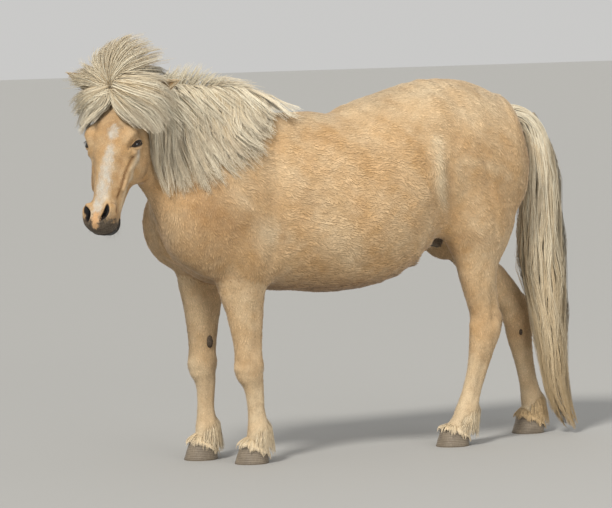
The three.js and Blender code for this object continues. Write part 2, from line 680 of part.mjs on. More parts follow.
const standing = Array.from({ length: 6 }, (_, i) => {
  const y = mix(-570, -400, i / 5);
  const root = crestAt(y, -4 - 8 * (i % 2));
  const tip = root.clone().add(V(random(-8, 22), random(26, 58), random(66, 96) - 12 * (i % 2)));
  const middle = root.clone().lerp(tip, 0.55).add(V(-3, -12, 6));
  return lockSolid([root, middle, tip], 38, 7.5, { wide: V(0.25, 1, 0), rings: 3 });
});
const lying = Array.from({ length: 5 }, (_, i) => {
  const y = mix(-368, -240, i / 4);
  const root = crestAt(y, -4 - 8 * (i % 2));
  const tip = root.clone().add(V(random(-6, 8), random(80, 108), mix(40, 8, i / 4)));
  const path = sweep(root, V(0, 0.5, 0.8), tip, V(0, 1, -0.5), { form: obstacle, clear: 8, steps: 4 });
  return lockSolid(path, 38, 7.5, { wide: V(1, 0.2, 0), rings: 3 });
});
maneLocks.push(...standing, ...lying);
const forelockRoom = forelock.reduce((all, lock) => all.add(lock), skullRoom.add(forelockCore));
neck = largest([torsoRoom, forelockRoom, ...earRoom]
  .reduce((left, room) => left.subtract(room), maneLocks.reduce((all, lock) => all.add(lock), neck)));
addNode('neck', neck, 'coat');

// Tail: the dock, and locks of hair that hang around it down to the ground
const TAIL = [ // height, middle from side to side, middle from front to back, and reach from front to back
  [948, 0, 636, 34], [900, 0, 662, 46], [800, 2, 686, 56], [700, 4, 682, 66],
  [600, 7, 676, 74], [500, 10, 680, 76], [400, 14, 690, 64], [300, 18, 698, 54],
  [150, 22, 708, 44], [60, 24, 732, 38], [8, 26, 770, 26],
];
const TAIL_WIDTH = 0.74; // side to side for each unit of front to back

function tailAt(height, turn, share) {
  const i = clamp(TAIL.findIndex(([z]) => z <= height), 1, TAIL.length - 1);
  const [high, low] = [TAIL[i - 1], TAIL[i]];
  const t = clamp((high[0] - height) / (high[0] - low[0]), 0, 1);
  const [, x, y, r] = high.map((value, k) => mix(value, low[k], t));
  return V(x + TAIL_WIDTH * r * share * Math.sin(turn), y + r * share * Math.cos(turn), height);
}

const dockTube = tube([
  { at: V(0, 574, 956), side: 34, up: 26, down: 30 },
  { at: V(0, 622, 934), side: 34, up: 26, down: 28 },
  { at: V(0, 664, 880), side: 30, up: 30, down: 28 },
  { at: V(2, 684, 790), side: 28, up: 34, down: 32 },
  { at: V(4, 682, 690), side: 28, up: 36, down: 35 },
  { at: V(7, 678, 600), side: 28, up: 37, down: 37 },
  { at: V(9, 680, 500), side: 14, up: 18, down: 18 },
], V(0, 1, 0.2), { cap: 12 });
const dock = wrap(dockTube.form, dockTube.frameAt, {
  axis: V(0, 0.35, -1), upHint: V(0, 1, 0), rings: 9, sides: 10, endRings: 1,
});

const tailLocks = [
  { count: 10, share: 0.94, width: 52, starts: [930, 820], ends: [8, 80] },
  { count: 4, share: 0.46, width: 44, starts: [580, 540], ends: [90, 260] },
].flatMap(({ count, share, width, starts, ends }, layer) =>
  Array.from({ length: count }, (_, i) => {
    const turn = (2 * Math.PI * (i + 0.5 * layer)) / count + random(-0.08, 0.08);
    const start = mix(...starts, ((i * 3) % count) / (count - 1));
    const end = random(...ends);
    const depth = share - 0.15 * (i % 2);
    const path = [[0, 0.1], [0.06, 0.7], [0.2, 1], [0.42, 1], [0.64, 1], [0.84, 0.95], [1, 0.85]]
      .map(([t, out]) => tailAt(mix(start, end, t), turn, depth * out));
    const wide = V(Math.cos(turn), -Math.sin(turn), 0);
    return lockSolid(path, width * random(0.9, 1.1), 6.5, { wide, rings: 6 });
  }));
const tail = largest(tailLocks.reduce((all, lock) => all.add(lock), dock).subtract(torsoRoom));
addNode('tail', tail, 'hair');

for (const [name, side] of [['left', 1], ['right', -1]]) {
  const cup = earShell(side, 1, 0).subtract(earShell(side, 0.74, 9)).subtract(skullRoom);
  addNode('ear_' + name, largest(cup), 'coat');
}

for (const leg of LEGS) {
  const shell = wrap(leg.limb.form, leg.limb.frameAt, {
    axis: V(0, 0, -1), upHint: FORWARD, rings: 19, sides: 14, endRings: 1,
  });
  const clear = shell.subtract(torsoRoom);
  const cut = leg.limb.frameAt(0.5);
  const above = V(cut.at.x, cut.at.y, leg.joint);
  addNode(`${leg.name}_${leg.upper}`, largest(keepAbove(clear, above, UP, GAP / 2)), 'coat');
  const shank = keepAbove(clear, above, UP.clone().negate(), GAP / 2);
  const feathers = featherLocks(leg);
  const bare = largest(keepAbove(shank, hoofTop(leg), HOOF_SLOPE, GAP / 2));
  const hoof = hoofSolid(leg);
  const feathered = feathers.reduce((all, lock) => all.add(lock), bare);
  addNode(`${leg.name}_shank`, largest(feathered.subtract(hoofSolid(leg, 2 * GAP))), 'coat');
  addNode(`${leg.name}_hoof`, hoof, 'horn');
}

export default pony;
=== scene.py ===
# %% [markdown]
# # A Shetland pony, life size
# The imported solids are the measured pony. This notebook dresses them: one skin over all the flesh, a short
# coat of tufts, a cream mane, forelock and tail of fine strands, and eyes, ears and hooves of their own.
# Everything is in metres. The pony faces -Y, its left side is +X, and it stands on z = 0.

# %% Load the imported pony
import math
import time
from math import pi, radians
import bpy
import numpy as np
from mathutils import Matrix, Vector
from numpy import (arange, arctan2, array, bincount, broadcast_to, clip, cos, cross, exp, full, interp, linspace,
                   maximum, minimum, ones, sign, sin, sqrt, stack, tile, where, zeros)


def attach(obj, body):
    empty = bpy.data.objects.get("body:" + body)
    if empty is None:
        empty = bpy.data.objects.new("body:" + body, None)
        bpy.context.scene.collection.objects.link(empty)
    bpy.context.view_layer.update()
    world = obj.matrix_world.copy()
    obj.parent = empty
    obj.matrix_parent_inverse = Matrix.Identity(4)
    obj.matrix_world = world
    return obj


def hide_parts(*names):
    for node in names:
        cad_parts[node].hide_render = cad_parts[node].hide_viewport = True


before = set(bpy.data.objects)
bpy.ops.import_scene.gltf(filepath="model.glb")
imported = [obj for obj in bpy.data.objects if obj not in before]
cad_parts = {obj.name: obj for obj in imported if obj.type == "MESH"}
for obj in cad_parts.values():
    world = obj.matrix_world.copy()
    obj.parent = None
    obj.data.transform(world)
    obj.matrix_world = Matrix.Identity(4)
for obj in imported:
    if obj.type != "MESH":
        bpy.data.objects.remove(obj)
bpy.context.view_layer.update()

START = time.time()


def report(*words):
    """Prints what was made, and the seconds so far."""
    print(*words, round(time.time() - START, 1), "s")


# %% [markdown]
# ## Camera
# A long lens from nine metres, at the pony's left front, keeps its proportions nearly free of perspective. The
# camera is aimed with vectors, which give an exact angle and a slight roll.

# %% Aim the camera
def direction(azimuth, elevation):
    """Towards a place so many degrees round from the front and above the horizontal."""
    a, e = radians(azimuth), radians(elevation)
    return Vector((math.sin(a) * math.cos(e), -math.cos(a) * math.cos(e), math.sin(e)))


ROLL = radians(-1.5)
CAMERA_DISTANCE = 9.0
SENSOR = 36.0  # mm
PICTURE = (612, 508)  # pixels
FOCAL_PIXELS = 3150
back = direction(66, 4.5)
level_right = Vector((0, 0, 1)).cross(back).normalized()
level_up = back.cross(level_right)
right = level_right * math.cos(ROLL) + level_up * math.sin(ROLL)
up = level_up * math.cos(ROLL) - level_right * math.sin(ROLL)
target = Vector((0, 0, 0.5))  # seen at pixel 330, 278
place = target + back * CAMERA_DISTANCE
middle = target + right * (PICTURE[0] / 2 - 330) / 350 + up * (278 - PICTURE[1] / 2) / 350
look = (middle - place).normalized()
side_axis = look.cross(up).normalized()
turn = Matrix((side_axis, side_axis.cross(look), -look)).transposed()
bpy.ops.object.camera_add(location=place)
camera = bpy.context.object
camera.name = "camera"
camera.matrix_world = Matrix.Translation(place) @ turn.to_4x4()
camera.data.sensor_width = SENSOR
camera.data.lens = SENSOR * FOCAL_PIXELS / PICTURE[0]
bpy.context.scene.camera = camera
print("camera at", [round(v, 2) for v in place], "lens", round(camera.data.lens, 1), "mm")

# %% [markdown]
# ## Studio
# A pale floor, a soft sun high on the camera's left, as in the photograph, and one large weak light and a pale
# sky that open up the shadows. Both lights are broad, because hair looks harsh under small ones.

# %% Floor and lights
def work_in(mode):
    bpy.ops.object.mode_set(mode=mode)


def deselect():
    if bpy.context.object and bpy.context.object.mode != "OBJECT":
        work_in("OBJECT")
    bpy.ops.object.select_all(action="DESELECT")


def pick(obj):
    deselect()
    obj.select_set(True)
    bpy.context.view_layer.objects.active = obj


def made(name):
    """The object that was made just now, with its name."""
    obj = bpy.context.object
    obj.name = obj.data.name = name
    return obj


def edit_all(*steps):
    """Runs edit-mode steps on all of the active mesh."""
    work_in("EDIT")
    for step in steps:
        bpy.ops.mesh.select_all(action="SELECT")
        step()
    work_in("OBJECT")


def lamp(kind, name, location, turn, power, colour, **settings):
    bpy.ops.object.light_add(type=kind, location=location)
    light = bpy.context.object
    light.name = name
    light.rotation_euler = turn.to_euler()
    for key, value in dict(settings, energy=power, color=colour).items():
        setattr(light.data, key, value)


deselect()
bpy.ops.mesh.primitive_plane_add(size=160, location=(0, 0, 0))
floor = bpy.context.object
floor.name = "floor"
floor_paint = bpy.data.materials.new("pale_floor")
floor_paint.use_nodes = True
floor_shader = floor_paint.node_tree.nodes["Principled BSDF"]
floor_shader.inputs["Base Color"].default_value = (0.4, 0.4, 0.39, 1)
floor_shader.inputs["Roughness"].default_value = 0.9
floor.data.materials.append(floor_paint)
sun = direction(38, 45.5)
lamp("SUN", "key_light", sun * 6, sun.to_track_quat("Z", "Y"), 2.5, (1.0, 0.96, 0.89), angle=radians(12))
fill = Vector((6.5, 0.8, 1.6))
lamp("AREA", "fill_light", fill, (Vector((0, 0, 0.6)) - fill).to_track_quat("-Z", "Y"), 140, (1.0, 0.98, 0.95),
     shape="DISK", size=4.0)
world = bpy.data.worlds.new("studio")
world.use_nodes = True
sky = world.node_tree.nodes["Background"].inputs
sky["Color"].default_value = (0.95, 0.945, 0.93, 1)
sky["Strength"].default_value = 0.62
bpy.context.scene.world = world
bpy.context.scene.view_settings.view_transform = "Standard"

# %% [markdown]
# ## The pony's form as numbers
# Each muscle is an ovoid and each limb a tube along a curve, and both give for any point how far it lies
# outside. A soft minimum joins them into one smooth body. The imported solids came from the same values, so a
# skin laid on this form fits them.

# %% Small helpers for points
def unit(v):
    v = np.asarray(v, float)
    return v / maximum(np.linalg.norm(v, axis=-1, keepdims=True), 1e-12)


def norms(v):
    return np.linalg.norm(v, axis=1)


def dot(a, b):
    return (a * b).sum(-1, keepdims=True)


def ramp(low, high, x):
    t = clip((x - low) / (high - low), 0, 1)
    return t * t * (3 - 2 * t)


def mix(a, b, t):
    return a + (b - a) * t


def smooth_min(a, b, blend):
    h = maximum(blend - abs(a - b), 0) / blend
    return minimum(a, b) - h * h * blend / 4


def spline(rows, t):
    """A smooth curve through rows of numbers, for t from 0 to 1."""
    rows = np.asarray(rows, float)
    ends = np.vstack([2 * rows[0] - rows[1], rows, 2 * rows[-1] - rows[-2]])
    x = clip(t, 0, 1) * (len(rows) - 1)
    i = minimum(x.astype(int), len(rows) - 2)
    f = (x - i)[..., None]
    a, b, c, d = ends[i], ends[i + 1], ends[i + 2], ends[i + 3]
    leave, arrive = 0.5 * (c - a), 0.5 * (d - b)
    return ((2 * f**3 - 3 * f**2 + 1) * b + (f**3 - 2 * f**2 + f) * leave
            + (3 * f**2 - 2 * f**3) * c + (f**3 - f**2) * arrive)


print("middle of a curve:", spline([[0, 0], [1, 2], [2, 0]], array([0.5])).round(2))

# %% A muscle: an ovoid with its own axes, sizes in mm
STRAIGHT = np.eye(3)
UP, FORWARD = array([0, 0, 1.0]), array([0, -1.0, 0])


class Muscle:
    def __init__(self, centre, radii, axes=STRAIGHT):
        self.centre = array(centre, float) / 1000
        self.radii = array(radii, float) / 1000
        self.axes = array(axes, float)

    def form(self, p):
        q = (p - self.centre) @ self.axes.T / self.radii
        far = norms(q)
        steep = norms(q / self.radii)
        return far * (far - 1) / maximum(steep, 1e-6)


print("inside a ball of 40 mm:", Muscle([0, 0, 0], [40, 40, 40]).form(zeros((1, 3)) + 0.001).round(3))


# %% A tube: rows of x, y, z, half width, reach up and reach down, in mm
class Tube:
    SAMPLES = 44

    def __init__(self, rows, up_hint, cap, power=2.0):
        rows = array(rows, float) / 1000
        t = linspace(0, 1, self.SAMPLES + 1)
        at = spline(rows[:, :3], t)
        along = unit(spline(rows[:, :3], t + 1e-3) - spline(rows[:, :3], t - 1e-3))
        up = unit(up_hint - along * (along @ up_hint)[:, None])
        self.table = np.hstack([at, along, up, cross(along, up), spline(rows[:, 3:], t)])
        self.cap, self.power = cap / 1000, power

    def nearest(self, p):
        at, along = self.table[:, :3], self.table[:, 3:6]
        best = np.argmin((at**2).sum(1) - 2 * p @ at.T, axis=1)
        ahead = ((p - at[best]) * along[best]).sum(1)
        other = clip(best + sign(ahead).astype(int), 0, self.SAMPLES)
        step = norms(at[other] - at[best])
        share = where(step < 1e-6, 0, clip(abs(ahead) / maximum(step, 1e-6), 0, 1))
        return best, other, share

    def form(self, p):
        best, other, share = self.nearest(p)
        row = mix(self.table[best], self.table[other], share[:, None])
        d = p - row[:, :3]
        across, high = (d * row[:, 9:12]).sum(1), (d * row[:, 6:9]).sum(1)
        side, above, below = row[:, 12], row[:, 13], row[:, 14]
        x = abs(across) / side
        y = where(high > 0, high / above, -high / below)
        z = abs((d * self.table[best, 3:6]).sum(1)) / self.cap
        ring = (x**self.power + y**self.power) ** (1 / self.power)
        far = where(share == 0, np.hypot(ring, z), ring)
        length = norms(d)
        deep = -minimum(side, minimum(above, below))
        return where(far < 1e-5, deep, length - length / maximum(far, 1e-5))

    def place(self, p):
        """Turn around the tube from -pi to pi, and place along it from 0 to 1."""
        best, other, share = self.nearest(p)
        row = mix(self.table[best], self.table[other], share[:, None])
        d = p - row[:, :3]
        turned = arctan2((d * row[:, 9:12]).sum(1), (d * row[:, 6:9]).sum(1))
        return turned, (best + (other - best) * share) / self.SAMPLES

    def spot(self, t, turned, scale=1.0):
        """Points on the tube, for t from 0 to 1, with the ends rounded off by the cap."""
        x = clip(t, 0, 1) * self.SAMPLES
        i = minimum(x.astype(int), self.SAMPLES - 1)
        row = mix(self.table[i], self.table[i + 1], (x - i)[:, None])
        c, s = cos(turned), sin(turned)
        ring = (abs(c)**self.power + abs(s)**self.power) ** (-1 / self.power) * scale
        high = ring * c * where(c > 0, row[:, 13], row[:, 14])
        return row[:, :3] + row[:, 6:9] * high[:, None] + row[:, 9:12] * (ring * s * row[:, 12])[:, None]


def blended(forms, blend):
    def form(p):
        least = forms[0].form(p)
        for f in forms[1:]:
            least = smooth_min(least, f.form(p), blend)
        return least
    return form


def only_near(form, low, high):
    """Works a form out only inside a box, to save time."""
    low, high = array(low, float), array(high, float)

    def limited(p):
        out = full(len(p), 1.0)
        near = ((p > low) & (p < high)).all(1)
        if near.any():
            out[near] = form(p[near])
        return out
    return limited


# %% Torso
WITHERS, CROUP, BELLY, BARREL = 975, 1056, 462, 238


def station(y, top, bottom, side):
    z = mix(bottom, top, 0.46)
    return [0, y, z, side, top - z, z - bottom]


def sloped(degrees):
    c, s = math.cos(radians(degrees)), math.sin(radians(degrees))
    return array([[1, 0, 0], [0, c, s], [0, -s, c]])


def both_sides(centre, radii, axes=STRAIGHT):
    flip = array([-1, 1, 1])
    return [Muscle(centre, radii, axes), Muscle(array(centre) * flip, radii, axes * flip)]


TORSO = Tube([station(-440, 900, 560, 120), station(-350, 950, 500, 165), station(-235, WITHERS, 482, 196),
    station(-120, WITHERS - 3, 471, 220), station(0, WITHERS + 3, BELLY, BARREL - 2),
    station(110, WITHERS + 22, 488, BARREL), station(215, CROUP - 20, 616, 222),
    station(320, CROUP + 4, 690, 196), station(420, CROUP - 2, 690, 182), station(510, CROUP - 38, 710, 160),
], UP, 84, 2.15)
TRUNK_MUSCLES = [
    *both_sides([88, -440, 672], [78, 92, 118]),  # breast
    *both_sides([102, -345, 720], [92, 120, 200], sloped(-18)),  # shoulder
    *both_sides([108, -285, 600], [70, 92, 95]),  # back of the upper arm
    *both_sides([98, 372, 800], [96, 165, 215], sloped(8)),  # thigh
    *both_sides([100, 415, 650], [78, 92, 125]),
    *both_sides([82, 510, 800], [76, 84, 140], sloped(10)),  # buttock
    *both_sides([112, 272, 940], [66, 80, 64]),  # hip
    Muscle([0, 296, 630], [26, 62, 32], sloped(20)), Muscle([0, 328, 600], [19, 34, 24], sloped(-35)),  # sheath
]
print("barrel:", 2 * BARREL, "mm wide")

# %% Neck and head
NECK = Tube([
    [0, -290, 800, 142, 206, 250], [8, -400, 850, 102, 214, 218], [24, -500, 903, 74, 172, 152],
    [36, -572, 948, 66, 126, 112], [48, -622, 970, 58, 86, 92],
], UP, 50)
TURN, NOD = radians(41), radians(20)
FACING = array([math.sin(TURN), -math.cos(TURN), 0])
FACE_DOWN = FACING * math.sin(NOD) - UP * math.cos(NOD)
FACE_OUT = FACING * math.cos(NOD) + UP * math.sin(NOD)
HEAD_LEFT = array([-FACING[1], FACING[0], 0])
HEAD_AXES = array([FACE_DOWN, FACE_OUT, HEAD_LEFT])
POLL = array([58, -646, 1052]) / 1000


def on_head(*amounts):
    """A place on the head: mm down the face, out of it, and to its left."""
    return POLL + array(amounts, float) / 1000 @ HEAD_AXES


def head_place(p):
    return (p - POLL) @ HEAD_AXES.T * 1000


def face_station(down, top, bottom, side):
    out = mix(bottom, top, 0.5)
    return [*(on_head(down, out, 0) * 1000), side, top - out, out - bottom]


def head_muscle(down, out, left, radii):
    sides = [1, -1] if left else [1]
    return [Muscle(on_head(down, out, left * s) * 1000, radii, HEAD_AXES) for s in sides]


FACE = Tube([face_station(14, -4, -100, 50), face_station(70, 28, -124, 64), face_station(130, 40, -134, 68),
    face_station(190, 37, -124, 58), face_station(245, 31, -100, 42), face_station(300, 26, -80, 36),
    face_station(350, 23, -64, 38),
], FACE_OUT, 40, 2.3)
HEAD_MUSCLES = [
    *head_muscle(150, -8, 60, [36, 28, 21]), *head_muscle(124, 8, 56, [28, 18, 24]),  # socket and brow
    *head_muscle(160, -80, 43, [76, 64, 28]), *head_muscle(222, -18, 44, [60, 15, 14]),  # jaw, crest of the face
    *head_muscle(352, 6, 34, [34, 24, 17]),  # wing of the nostril
    *head_muscle(378, -14, 0, [26, 34, 38]), *head_muscle(364, -58, 0, [28, 20, 27]),  # lips
]
print("muzzle at", on_head(390, -10, 0).round(3))


# %% Legs
def leg_tube(rows):
    return Tube(rows, FORWARD, 20, 2.1)


def fore_limb(side, elbow, knee, fetlock, hoof, hoof_x):
    x = lambda share: side * mix(hoof_x, 98, share)
    return leg_tube([
        [x(1), elbow + 14, 612, 46, 62, 60], [x(1), elbow, 520, 52, 76, 72],
        [x(0.9), mix(elbow, knee, 0.4), 428, 42, 57, 55], [x(0.75), mix(elbow, knee, 0.8), 330, 34, 43, 42],
        [x(0.65), knee, 262, 35, 44, 40], [x(0.5), mix(knee, fetlock, 0.3) + 3, 212, 26, 29, 33],
        [x(0.35), mix(knee, fetlock, 0.7), 150, 23, 25, 29], [x(0.2), fetlock, 92, 30, 33, 33],
        [x(0.1), mix(fetlock, hoof, 0.5), 62, 29, 31, 33], [x(0), hoof + 4, 34, 37, 41, 37],
        [x(0), hoof, 12, 40, 44, 38],
    ])


def hind_limb(side, stifle, hock, fetlock, hoof, hoof_x, thigh):
    x = lambda share: side * mix(hoof_x, 98, share)
    return leg_tube([
        [x(1), stifle, 690, 62, 90, 130 * thigh], [x(1), mix(stifle, hock, 0.04), 625, 62, 80, 128 * thigh],
        [x(1), mix(stifle, hock, 0.12), 560, 58, 68, 98 * thigh],
        [x(1), mix(stifle, hock, 0.25), 515, 53, 60, 68 * thigh],
        [x(0.95), mix(stifle, hock, 0.45), 468, 47, 53, 55], [x(0.9), mix(stifle, hock, 0.82), 392, 38, 42, 54],
        [x(0.85), hock, 338, 37, 46, 56], [x(0.78), mix(hock, fetlock, 0.14), 284, 33, 40, 42],
        [x(0.6), mix(hock, fetlock, 0.4), 220, 27, 31, 34], [x(0.4), mix(hock, fetlock, 0.72), 155, 25, 29, 31],
        [x(0.2), fetlock, 96, 31, 35, 35], [x(0.1), mix(fetlock, hoof, 0.5), 62, 29, 32, 34],
        [x(0), hoof + 4, 34, 37, 42, 37], [x(0), hoof, 12, 40, 44, 38],
    ])


LEGS = {  # limb, side, hoof x, hoof y, fetlock y, name of the upper node
    "fore_left": (fore_limb(1, -312, -294, -270, -284, 80), 1, 80, -284, -270, "forearm"),
    "fore_right": (fore_limb(-1, -352, -362, -360, -374, 80), -1, 80, -374, -360, "forearm"),
    "hind_left": (hind_limb(1, 412, 440, 384, 346, 76, 1), 1, 76, 346, 384, "gaskin"),
    "hind_right": (hind_limb(-1, 474, 646, 676, 664, 62, 0.46), -1, 62, 664, 676, "gaskin"),
}
LIMBS = [leg[0] for leg in LEGS.values()]
print("legs:", list(LEGS))

# %% The whole body as one form
torso_form = only_near(blended([TORSO, *TRUNK_MUSCLES], 0.046), [-1, -0.62, 0.38], [1, 0.75, 1.2])
neck_form = only_near(NECK.form, [-1, -0.8, 0.45], [1, 0.05, 1.25])
head_form = only_near(blended([FACE, *HEAD_MUSCLES], 0.022), [-0.2, -0.95, 0.55], [0.5, -0.48, 1.2])
fore_form = only_near(lambda p: minimum(LIMBS[0].form(p), LIMBS[1].form(p)), [-1, -0.5, -1], [1, -0.1, 0.75])
hind_form = only_near(lambda p: minimum(LIMBS[2].form(p), LIMBS[3].form(p)), [-1, 0.2, -1], [1, 0.85, 0.86])


def trunk_form(p):
    return smooth_min(torso_form(p), neck_form(p), 0.06)


def body_form(p):
    upper = smooth_min(trunk_form(p), head_form(p), 0.036)
    return smooth_min(upper, minimum(fore_form(p), hind_form(p)), 0.03)


def slope(p, form, f=None):
    """The direction in which a form rises fastest."""
    f = form(p) if f is None else f
    return unit(stack([form(p + axis) - f for axis in STRAIGHT * 1e-3], axis=1))


print("middle of the barrel lies", round(-float(body_form(array([[0, 0, 0.72]]))[0]), 3), "m deep")

# %% [markdown]
# ## What lies under the skin
# Fine forms make the hide read as alive: the groove behind the upper arm, the fold of the flank, tendons beside
# the cannon bones, the crest of the face, nostrils and the line of the mouth. Each is a line or a spot near
# which the skin rises or sinks a little. That keeps them easy to move and to compare with the photograph.

# %% Distance to a line of points
def line_distance(p, points):
    best = full(len(p), 1e3)
    for a, b in zip(points[:-1], points[1:]):
        ab = b - a
        share = clip((p - a) @ ab / (ab @ ab), 0, 1)
        best = minimum(best, norms(p - a - share[:, None] * ab))
    return best


def near_line(p, points, width):
    """1 on the line, falling to 0 about two widths away."""
    points = np.asarray(points, float)
    out = zeros(len(p))
    reach = 2.6 * width
    near = ((p > points.min(0) - reach) & (p < points.max(0) + reach)).all(1)
    if near.any():
        out[near] = exp(-(line_distance(p[near], points) / width) ** 2)
    return out


def body_line(*points):
    return array(points, float) / 1000


def head_line(*points):
    return array([on_head(*point) for point in points])


print("half a width away:", near_line(array([[0, 0, 0.005]]), body_line([0, 0, 0], [9, 0, 0]), 0.01).round(2))

# %% Grooves and swellings of the trunk and the head: width and rise in mm, then the line's places
def relief_lines(line, rows):
    out = []
    for width, rise, *places in rows:
        points = line(*places)
        out.append((points if len(points) > 1 else np.vstack([points, points + [0, 0, 1e-4]]), width, rise))
    return out


TRUNK_RELIEF = relief_lines(body_line, [
    (19, -5.5, [195, -244, 740], [195, -234, 672], [188, -239, 617], [177, -253, 560]),  # behind the arm
    (20, -4, [95, -405, 905], [140, -425, 800], [152, -455, 710]),  # front of the shoulder
    (26, -2, [110, -205, 930], [185, -232, 790]),
    (26, 3, [170, -330, 800], [180, -345, 700]),
    (26, -5, [205, 205, 890], [206, 222, 800], [190, 240, 700]),  # flank
    (13, -8, [208, 286, 830], [191, 297, 731], [164, 312, 650], [150, 330, 600]),  # fold of the stifle
    (15, -4, [170, 380, 930], [190, 410, 820], [186, 436, 700], [172, 450, 620]),  # thigh
    (30, 4, [150, 250, 985], [172, 275, 945]),  # point of the hip
    (14, -5, [50, -483, 569], [58, -407, 508], [52, -334, 467]),  # between chest and arm
    (38, 8, [70, 612, 945], [96, 628, 880], [104, 622, 820]),  # beside the tail head
    (66, 7, [40, -130, 965], [40, -20, 965], [40, 70, 978]),  # muscles along the back
])
MIDDLE_RELIEF = relief_lines(body_line, [
    (17, -10, [0, -545, 790], [0, -545, 690], [0, -500, 590]),  # middle of the breast
    (15, -16, [0, 610, 930], [0, 610, 800], [0, 570, 660], [0, 500, 600]),  # between the buttocks
])
HEAD_RELIEF = relief_lines(head_line, [
    (5, -3.2, [187, -10, 67], [239, -6, 53], [292, -18, 40], [340, 0, 48]),  # groove of the facial crest
    (9, 3.0, [180, -32, 70], [212, -26, 61], [234, -44, 51]),
    (11, 2.2, [250, -44, 44], [290, -46, 36], [318, -42, 36]),
    (12, -3.4, [114, 24, 44]),  # hollow above the eye
    (9, -2.4, [206, 18, 43], [260, 13, 37], [322, 10, 33]),  # beside the nasal bone
    (9, -2, [172, -92, 70], [215, -100, 62], [236, -74, 54]),  # edge of the cheek
    (22, 2.5, [128, -58, 72], [150, -72, 74], [190, -80, 70]),
    (9, -3, [330, -70, 30], [345, -76, 14]),  # behind the chin
    (6, -1.8, [322, 4, 35], [334, -6, 39]),
])


def across_head(points):
    return points - 2 * ((points - POLL) @ HEAD_LEFT)[:, None] * HEAD_LEFT


TRUNK_RELIEF += [(points * [-1, 1, 1], width, rise) for points, width, rise in TRUNK_RELIEF]
HEAD_RELIEF += [(across_head(points), width, rise) for points, width, rise in HEAD_RELIEF]
HEAD_RELIEF.append((head_line([405, -6, 0], [398, 12, 0]), 4, -1.6))  # middle of the upper lip
print("lines of relief:", len(TRUNK_RELIEF) + len(MIDDLE_RELIEF) + len(HEAD_RELIEF))

# %% Nostrils and mouth
MOUTH = head_line([346, -42, -38], [374, -34, -37], [394, -25, -23], [404, -18, 0], [394, -25, 23],
                  [374, -34, 37], [346, -42, 38])
for _ in range(4):  # laid on the lips
    MOUTH = MOUTH - slope(MOUTH, head_form) * head_form(MOUTH)[:, None]


def nostril_axes(side):
    long = unit(FACE_DOWN - 0.34 * side * HEAD_LEFT)
    wide = unit(cross(cross(long, FACE_OUT + 0.42 * side * HEAD_LEFT), long))
    return array([long, wide, cross(long, wide)])


NOSTRILS = [(on_head(353, 22, 27 * side), nostril_axes(side)) for side in (1, -1)]


def nostril_ring(p, nostril):
    """How far from the middle of a nostril, with 1 at its rim."""
    centre, axes = nostril
    q = (p - centre) @ axes.T * 1000
    bent = q[:, 2] - 0.012 * q[:, 0] ** 2
    return sqrt((q[:, 0] / 25) ** 2 + (bent / 8.6) ** 2 + (maximum(abs(q[:, 1]) - 16, 0) / 5) ** 2)


print("nostrils at", [n[0].round(3).tolist() for n in NOSTRILS])


# %% Tendons, knees and hocks, by turn round each leg and place along it
def leg_relief(p, limb, fore):
    turned, t = limb.place(p)
    side = abs(turned)
    bell = lambda x, middle, width: exp(-((x - middle) / width) ** 2)
    span = lambda a, b, c, d: ramp(a, b, t) * ramp(d, c, t)
    if fore:
        rise = -2.6 * bell(side, 1.75, 0.3) * span(0.44, 0.5, 0.62, 0.68)
        rise += 3.0 * bell(t, 0.385, 0.022) * bell(side, 0, 1.0) + 2.0 * bell(t, 0.43, 0.018) * bell(side, 0, 1.0)
        rise += 4.5 * bell(t, 0.375, 0.03) * bell(side, pi, 0.7)  # bone behind the knee
        rise += -3.0 * bell(side, 2.0, 0.35) * span(0.14, 0.2, 0.3, 0.36)
        rise += 3.5 * bell(t, 0.7, 0.03) * bell(side, pi, 0.8)
    else:
        rise = -2.6 * bell(side, 1.8, 0.3) * span(0.53, 0.58, 0.7, 0.75)
        rise += -7.0 * bell(side, 2.15, 0.38) * span(0.3, 0.37, 0.42, 0.47)
        rise += 6.0 * bell(t, 0.425, 0.022) * bell(side, pi, 0.55)  # point of the hock
        rise -= 3.0 * bell(t, 0.4, 0.03) * bell(side, 0, 0.8)
        rise -= 3.0 * bell(side, 1.4, 0.3) * span(0.22, 0.28, 0.36, 0.42)
        rise += 3.5 * bell(t, 0.77, 0.025) * bell(side, pi, 0.8)
    return rise / 1000


print("leg relief ready")

# %% Eyes and their lids
EYE_RADIUS = 0.017
SLIT_UP, SLIT_DOWN = radians(19), radians(13)


def eye_axes(side):
    out = unit(0.86 * side * HEAD_LEFT + 0.48 * FACE_OUT + 0.02 * FACE_DOWN)
    corner = 0.5 * FACE_DOWN + 0.85 * FACE_OUT
    corner = unit(corner - out * (corner @ out))
    return array([out, corner, -side * cross(out, corner)])


EYES = [(on_head(147, -13, 67 * side), eye_axes(side)) for side in (1, -1)]


def slit(turned):
    """The opening between the lids, 1 in the middle and 0 at the corners."""
    return sqrt(clip(1 - (turned / radians(63)) ** 2, 0, 1))


def slit_droop(turned):
    """The tear duct draws the slit down towards its front corner."""
    return radians(-6) * ramp(0.3, 1.0, turned)


def lid_place(p, eye):
    """Distance from the eye, and mm from the nearest lid's edge, above 0 on the lid."""
    centre, (out, corner, brow) = eye
    d = p - centre
    far = norms(d)
    d = d / far[:, None]
    height = arctan2(d @ brow, d @ out)
    turned = np.arcsin(clip(d @ corner, -1, 1))
    h = height - slit_droop(turned)
    edge = where(h > 0, h - SLIT_UP * slit(turned), -h - SLIT_DOWN * slit(turned)) * 17.5
    behind = d @ out < 0.1
    return far, where(behind, 60.0, edge), height > 0


